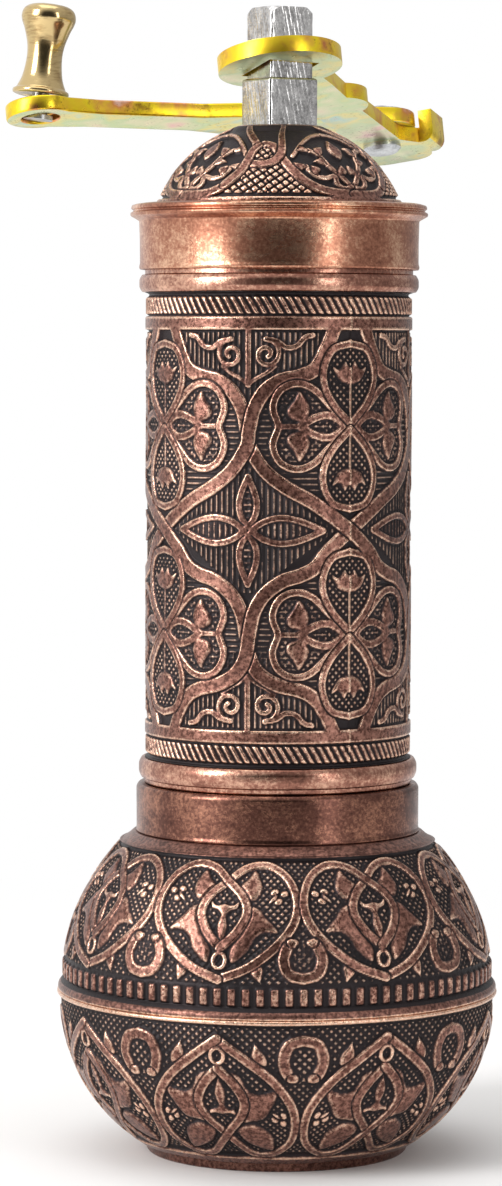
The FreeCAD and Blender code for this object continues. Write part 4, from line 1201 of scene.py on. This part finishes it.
tubePieces = buildTube()
dress(tubePieces[:4], copperChased, "barrel", "copper_barrel", "barrel")
dress(tubePieces[4:], beadCopper, "barrel", "copper_barrel", "barrel")
print("tube:", len(tubePieces), "pieces")
upperPieces = buildUpperBowl()
dress(upperPieces[:2], copperChased, "bowl", "copper_bowl", "upper_bowl")
dress(upperPieces[2:], collarCopper, "bowl", "copper_bowl", "upper_bowl")
dress(buildLowerBowl(), copperChased, "bowl", "copper_bowl", "lower_bowl")
print("bowl halves chased")
capPieces = buildCap()
dress(capPieces[:2], copperWarm, "cap", "copper_cap", "cap")
dress(capPieces[2:], bandCopper, "cap", "copper_cap", "cap")
print("cap:", len(capPieces), "pieces")

dress([buildSpindle()], spindleSteel, "spindle", "spindle_steel", "spindle")
for node, body in (("hub_plate", "crank"), ("crank_arm", "arm")):
    dress([softenedCopy(node, f"{node}_stamped", stampedBevel)], passivated, body, "crank_passivated", node)
dress([buildKnob()], knobBrass, "knob", "knob_brass", "knob")
print("crank dressed")

plainFinishes = (
    (zincPlate, ("upper_bridge", "lower_bridge", "thrust_washer", "spring_washer", "bridge_screws",
                 "fold_rivet", "fold_washer", "knob_pin")),
    (bushBrass, ("upper_bush", "lower_bush", "adjusting_nut", "lock_nut")),
    (burrSteel, ("outer_burr", "inner_burr")),
    (springSteel, ("burr_spring", "retaining_clip")),
)
for material, names in plainFinishes:
    for name in names:
        mesh = nodes[name].data
        if not mesh.materials:
            mesh.materials.append(material)
        for i in range(len(mesh.materials)):
            mesh.materials[i] = material
print("plain pieces finished:", sum(len(names) for material, names in plainFinishes))


# studio

studio = {
    "floor": 0.42,      # half its side, in metres
    "glowFrom": 0.16,   # where the floor begins to turn into white light for the camera
    "glowOver": 0.2,
    "key": 4.3,         # power of the three soft lights
    "edge": 1.0,
    "top": 1.0,
    "left": 1.05,       # brightness of the wall on the left, then of the right one and of the room's dark end
    "right": 0.45,
    "behind": 0.04,
    "aim": (0.0, 0.0, 0.075),
}


def softBox(name, place, width, height, power):
    light = bpy.data.lights.new(name, "AREA")
    light.shape, light.size, light.size_y, light.energy = "RECTANGLE", width, height, power
    lamp = linked(name, light)
    lamp.location = place
    lamp.rotation_mode = "QUATERNION"
    lamp.rotation_quaternion = (Vector(studio["aim"]) - Vector(place)).to_track_quat("-Z", "Y")


def buildFloor():
    mesh = bpy.data.meshes.new("floor")
    half = studio["floor"]
    corners = [(-half, -half, 0), (half, -half, 0), (half, half, 0), (-half, half, 0)]
    mesh.from_pydata(corners, [], [(0, 1, 2, 3)])
    floor = linked("floor", mesh)
    f = Finish("pale floor", {"Roughness": 0.9, "Specular IOR Level": 0.1})
    f.paint(Base_Color=tone(244, 243, 242))
    glow = f.node("ShaderNodeEmission", {}, {"Color": (1, 1, 1, 1), "Strength": 1.0})
    seen = f.node("ShaderNodeLightPath", output="Is Camera Ray")
    away = f.node("ShaderNodeVectorMath", {"operation": "LENGTH"}, {0: f.place}, output="Value")
    share = seen * away.above(studio["glowFrom"], studio["glowOver"])
    f.plug(f.node("ShaderNodeMixShader", {}, {0: share, 1: f.surface, 2: glow}), f.out.inputs[0])
    mesh.materials.append(f.material)


def buildSky():
    # white to the camera; the metal sees a bright wall on its left, a dimmer one on its right and a dark room
    # behind the camera
    world = bpy.data.worlds.new("studio")
    bpy.context.scene.world = world
    world.use_nodes = True
    f = Tree(world.node_tree)
    direction = f.node("ShaderNodeTexCoord", output="Generated")
    split = f.node("ShaderNodeSeparateXYZ", {}, {0: direction}).socket.node
    x, y, z = (Term(f, output) for output in split.outputs)
    room = (y * -1.0).above(0.74, 0.3)
    left = (x * -1.0).above(0.1, 0.8)
    wall = studio["right"] + left * (studio["left"] - studio["right"]) + z * 0.25
    level = (wall + room * (studio["behind"] - wall)).clamped()
    seen = f.node("ShaderNodeLightPath", output="Is Camera Ray")
    through = f.node("ShaderNodeLightPath", output="Is Transmission Ray")
    white = (seen + through).clamped()
    strength = white + (1 - white) * level
    back = f.node("ShaderNodeBackground", {}, {"Color": (1, 1, 1, 1), "Strength": strength})
    f.node("ShaderNodeOutputWorld", {}, {0: back}, output=None)


buildFloor()
buildSky()
softBox("key light", (-0.6, -0.36, 0.36), 0.24, 0.5, studio["key"])
softBox("edge light", (0.46, -0.52, 0.2), 0.12, 0.6, studio["edge"])
softBox("top light", (0.0, 0.0, 0.75), 0.5, 0.5, studio["top"])
bpy.context.scene.view_settings.view_transform = "Standard"


# camera

photo = {
    # metres and degrees
    "distance": 0.520,
    "aside": -0.003376,
    "height": 0.101137,
    "pitch": 3.4636,
    "roll": 0.159,
    "focalLength": 4180,    # in pixels of the picture
    "tall": 1186,
}

lens = bpy.data.cameras.new("photo camera")
lens.sensor_width = 36.0
lens.lens = lens.sensor_width * photo["focalLength"] / photo["tall"]
camera = linked("photo camera", lens)
camera.location = (photo["aside"], -photo["distance"], photo["height"])
camera.rotation_mode = "XYZ"
pitch = Matrix.Rotation(math.radians(90 - photo["pitch"]), 4, "X")
roll = Matrix.Rotation(math.radians(photo["roll"]), 4, "Z")
camera.rotation_euler = (pitch @ roll).to_euler("XYZ")
bpy.context.scene.camera = camera
print("camera set")
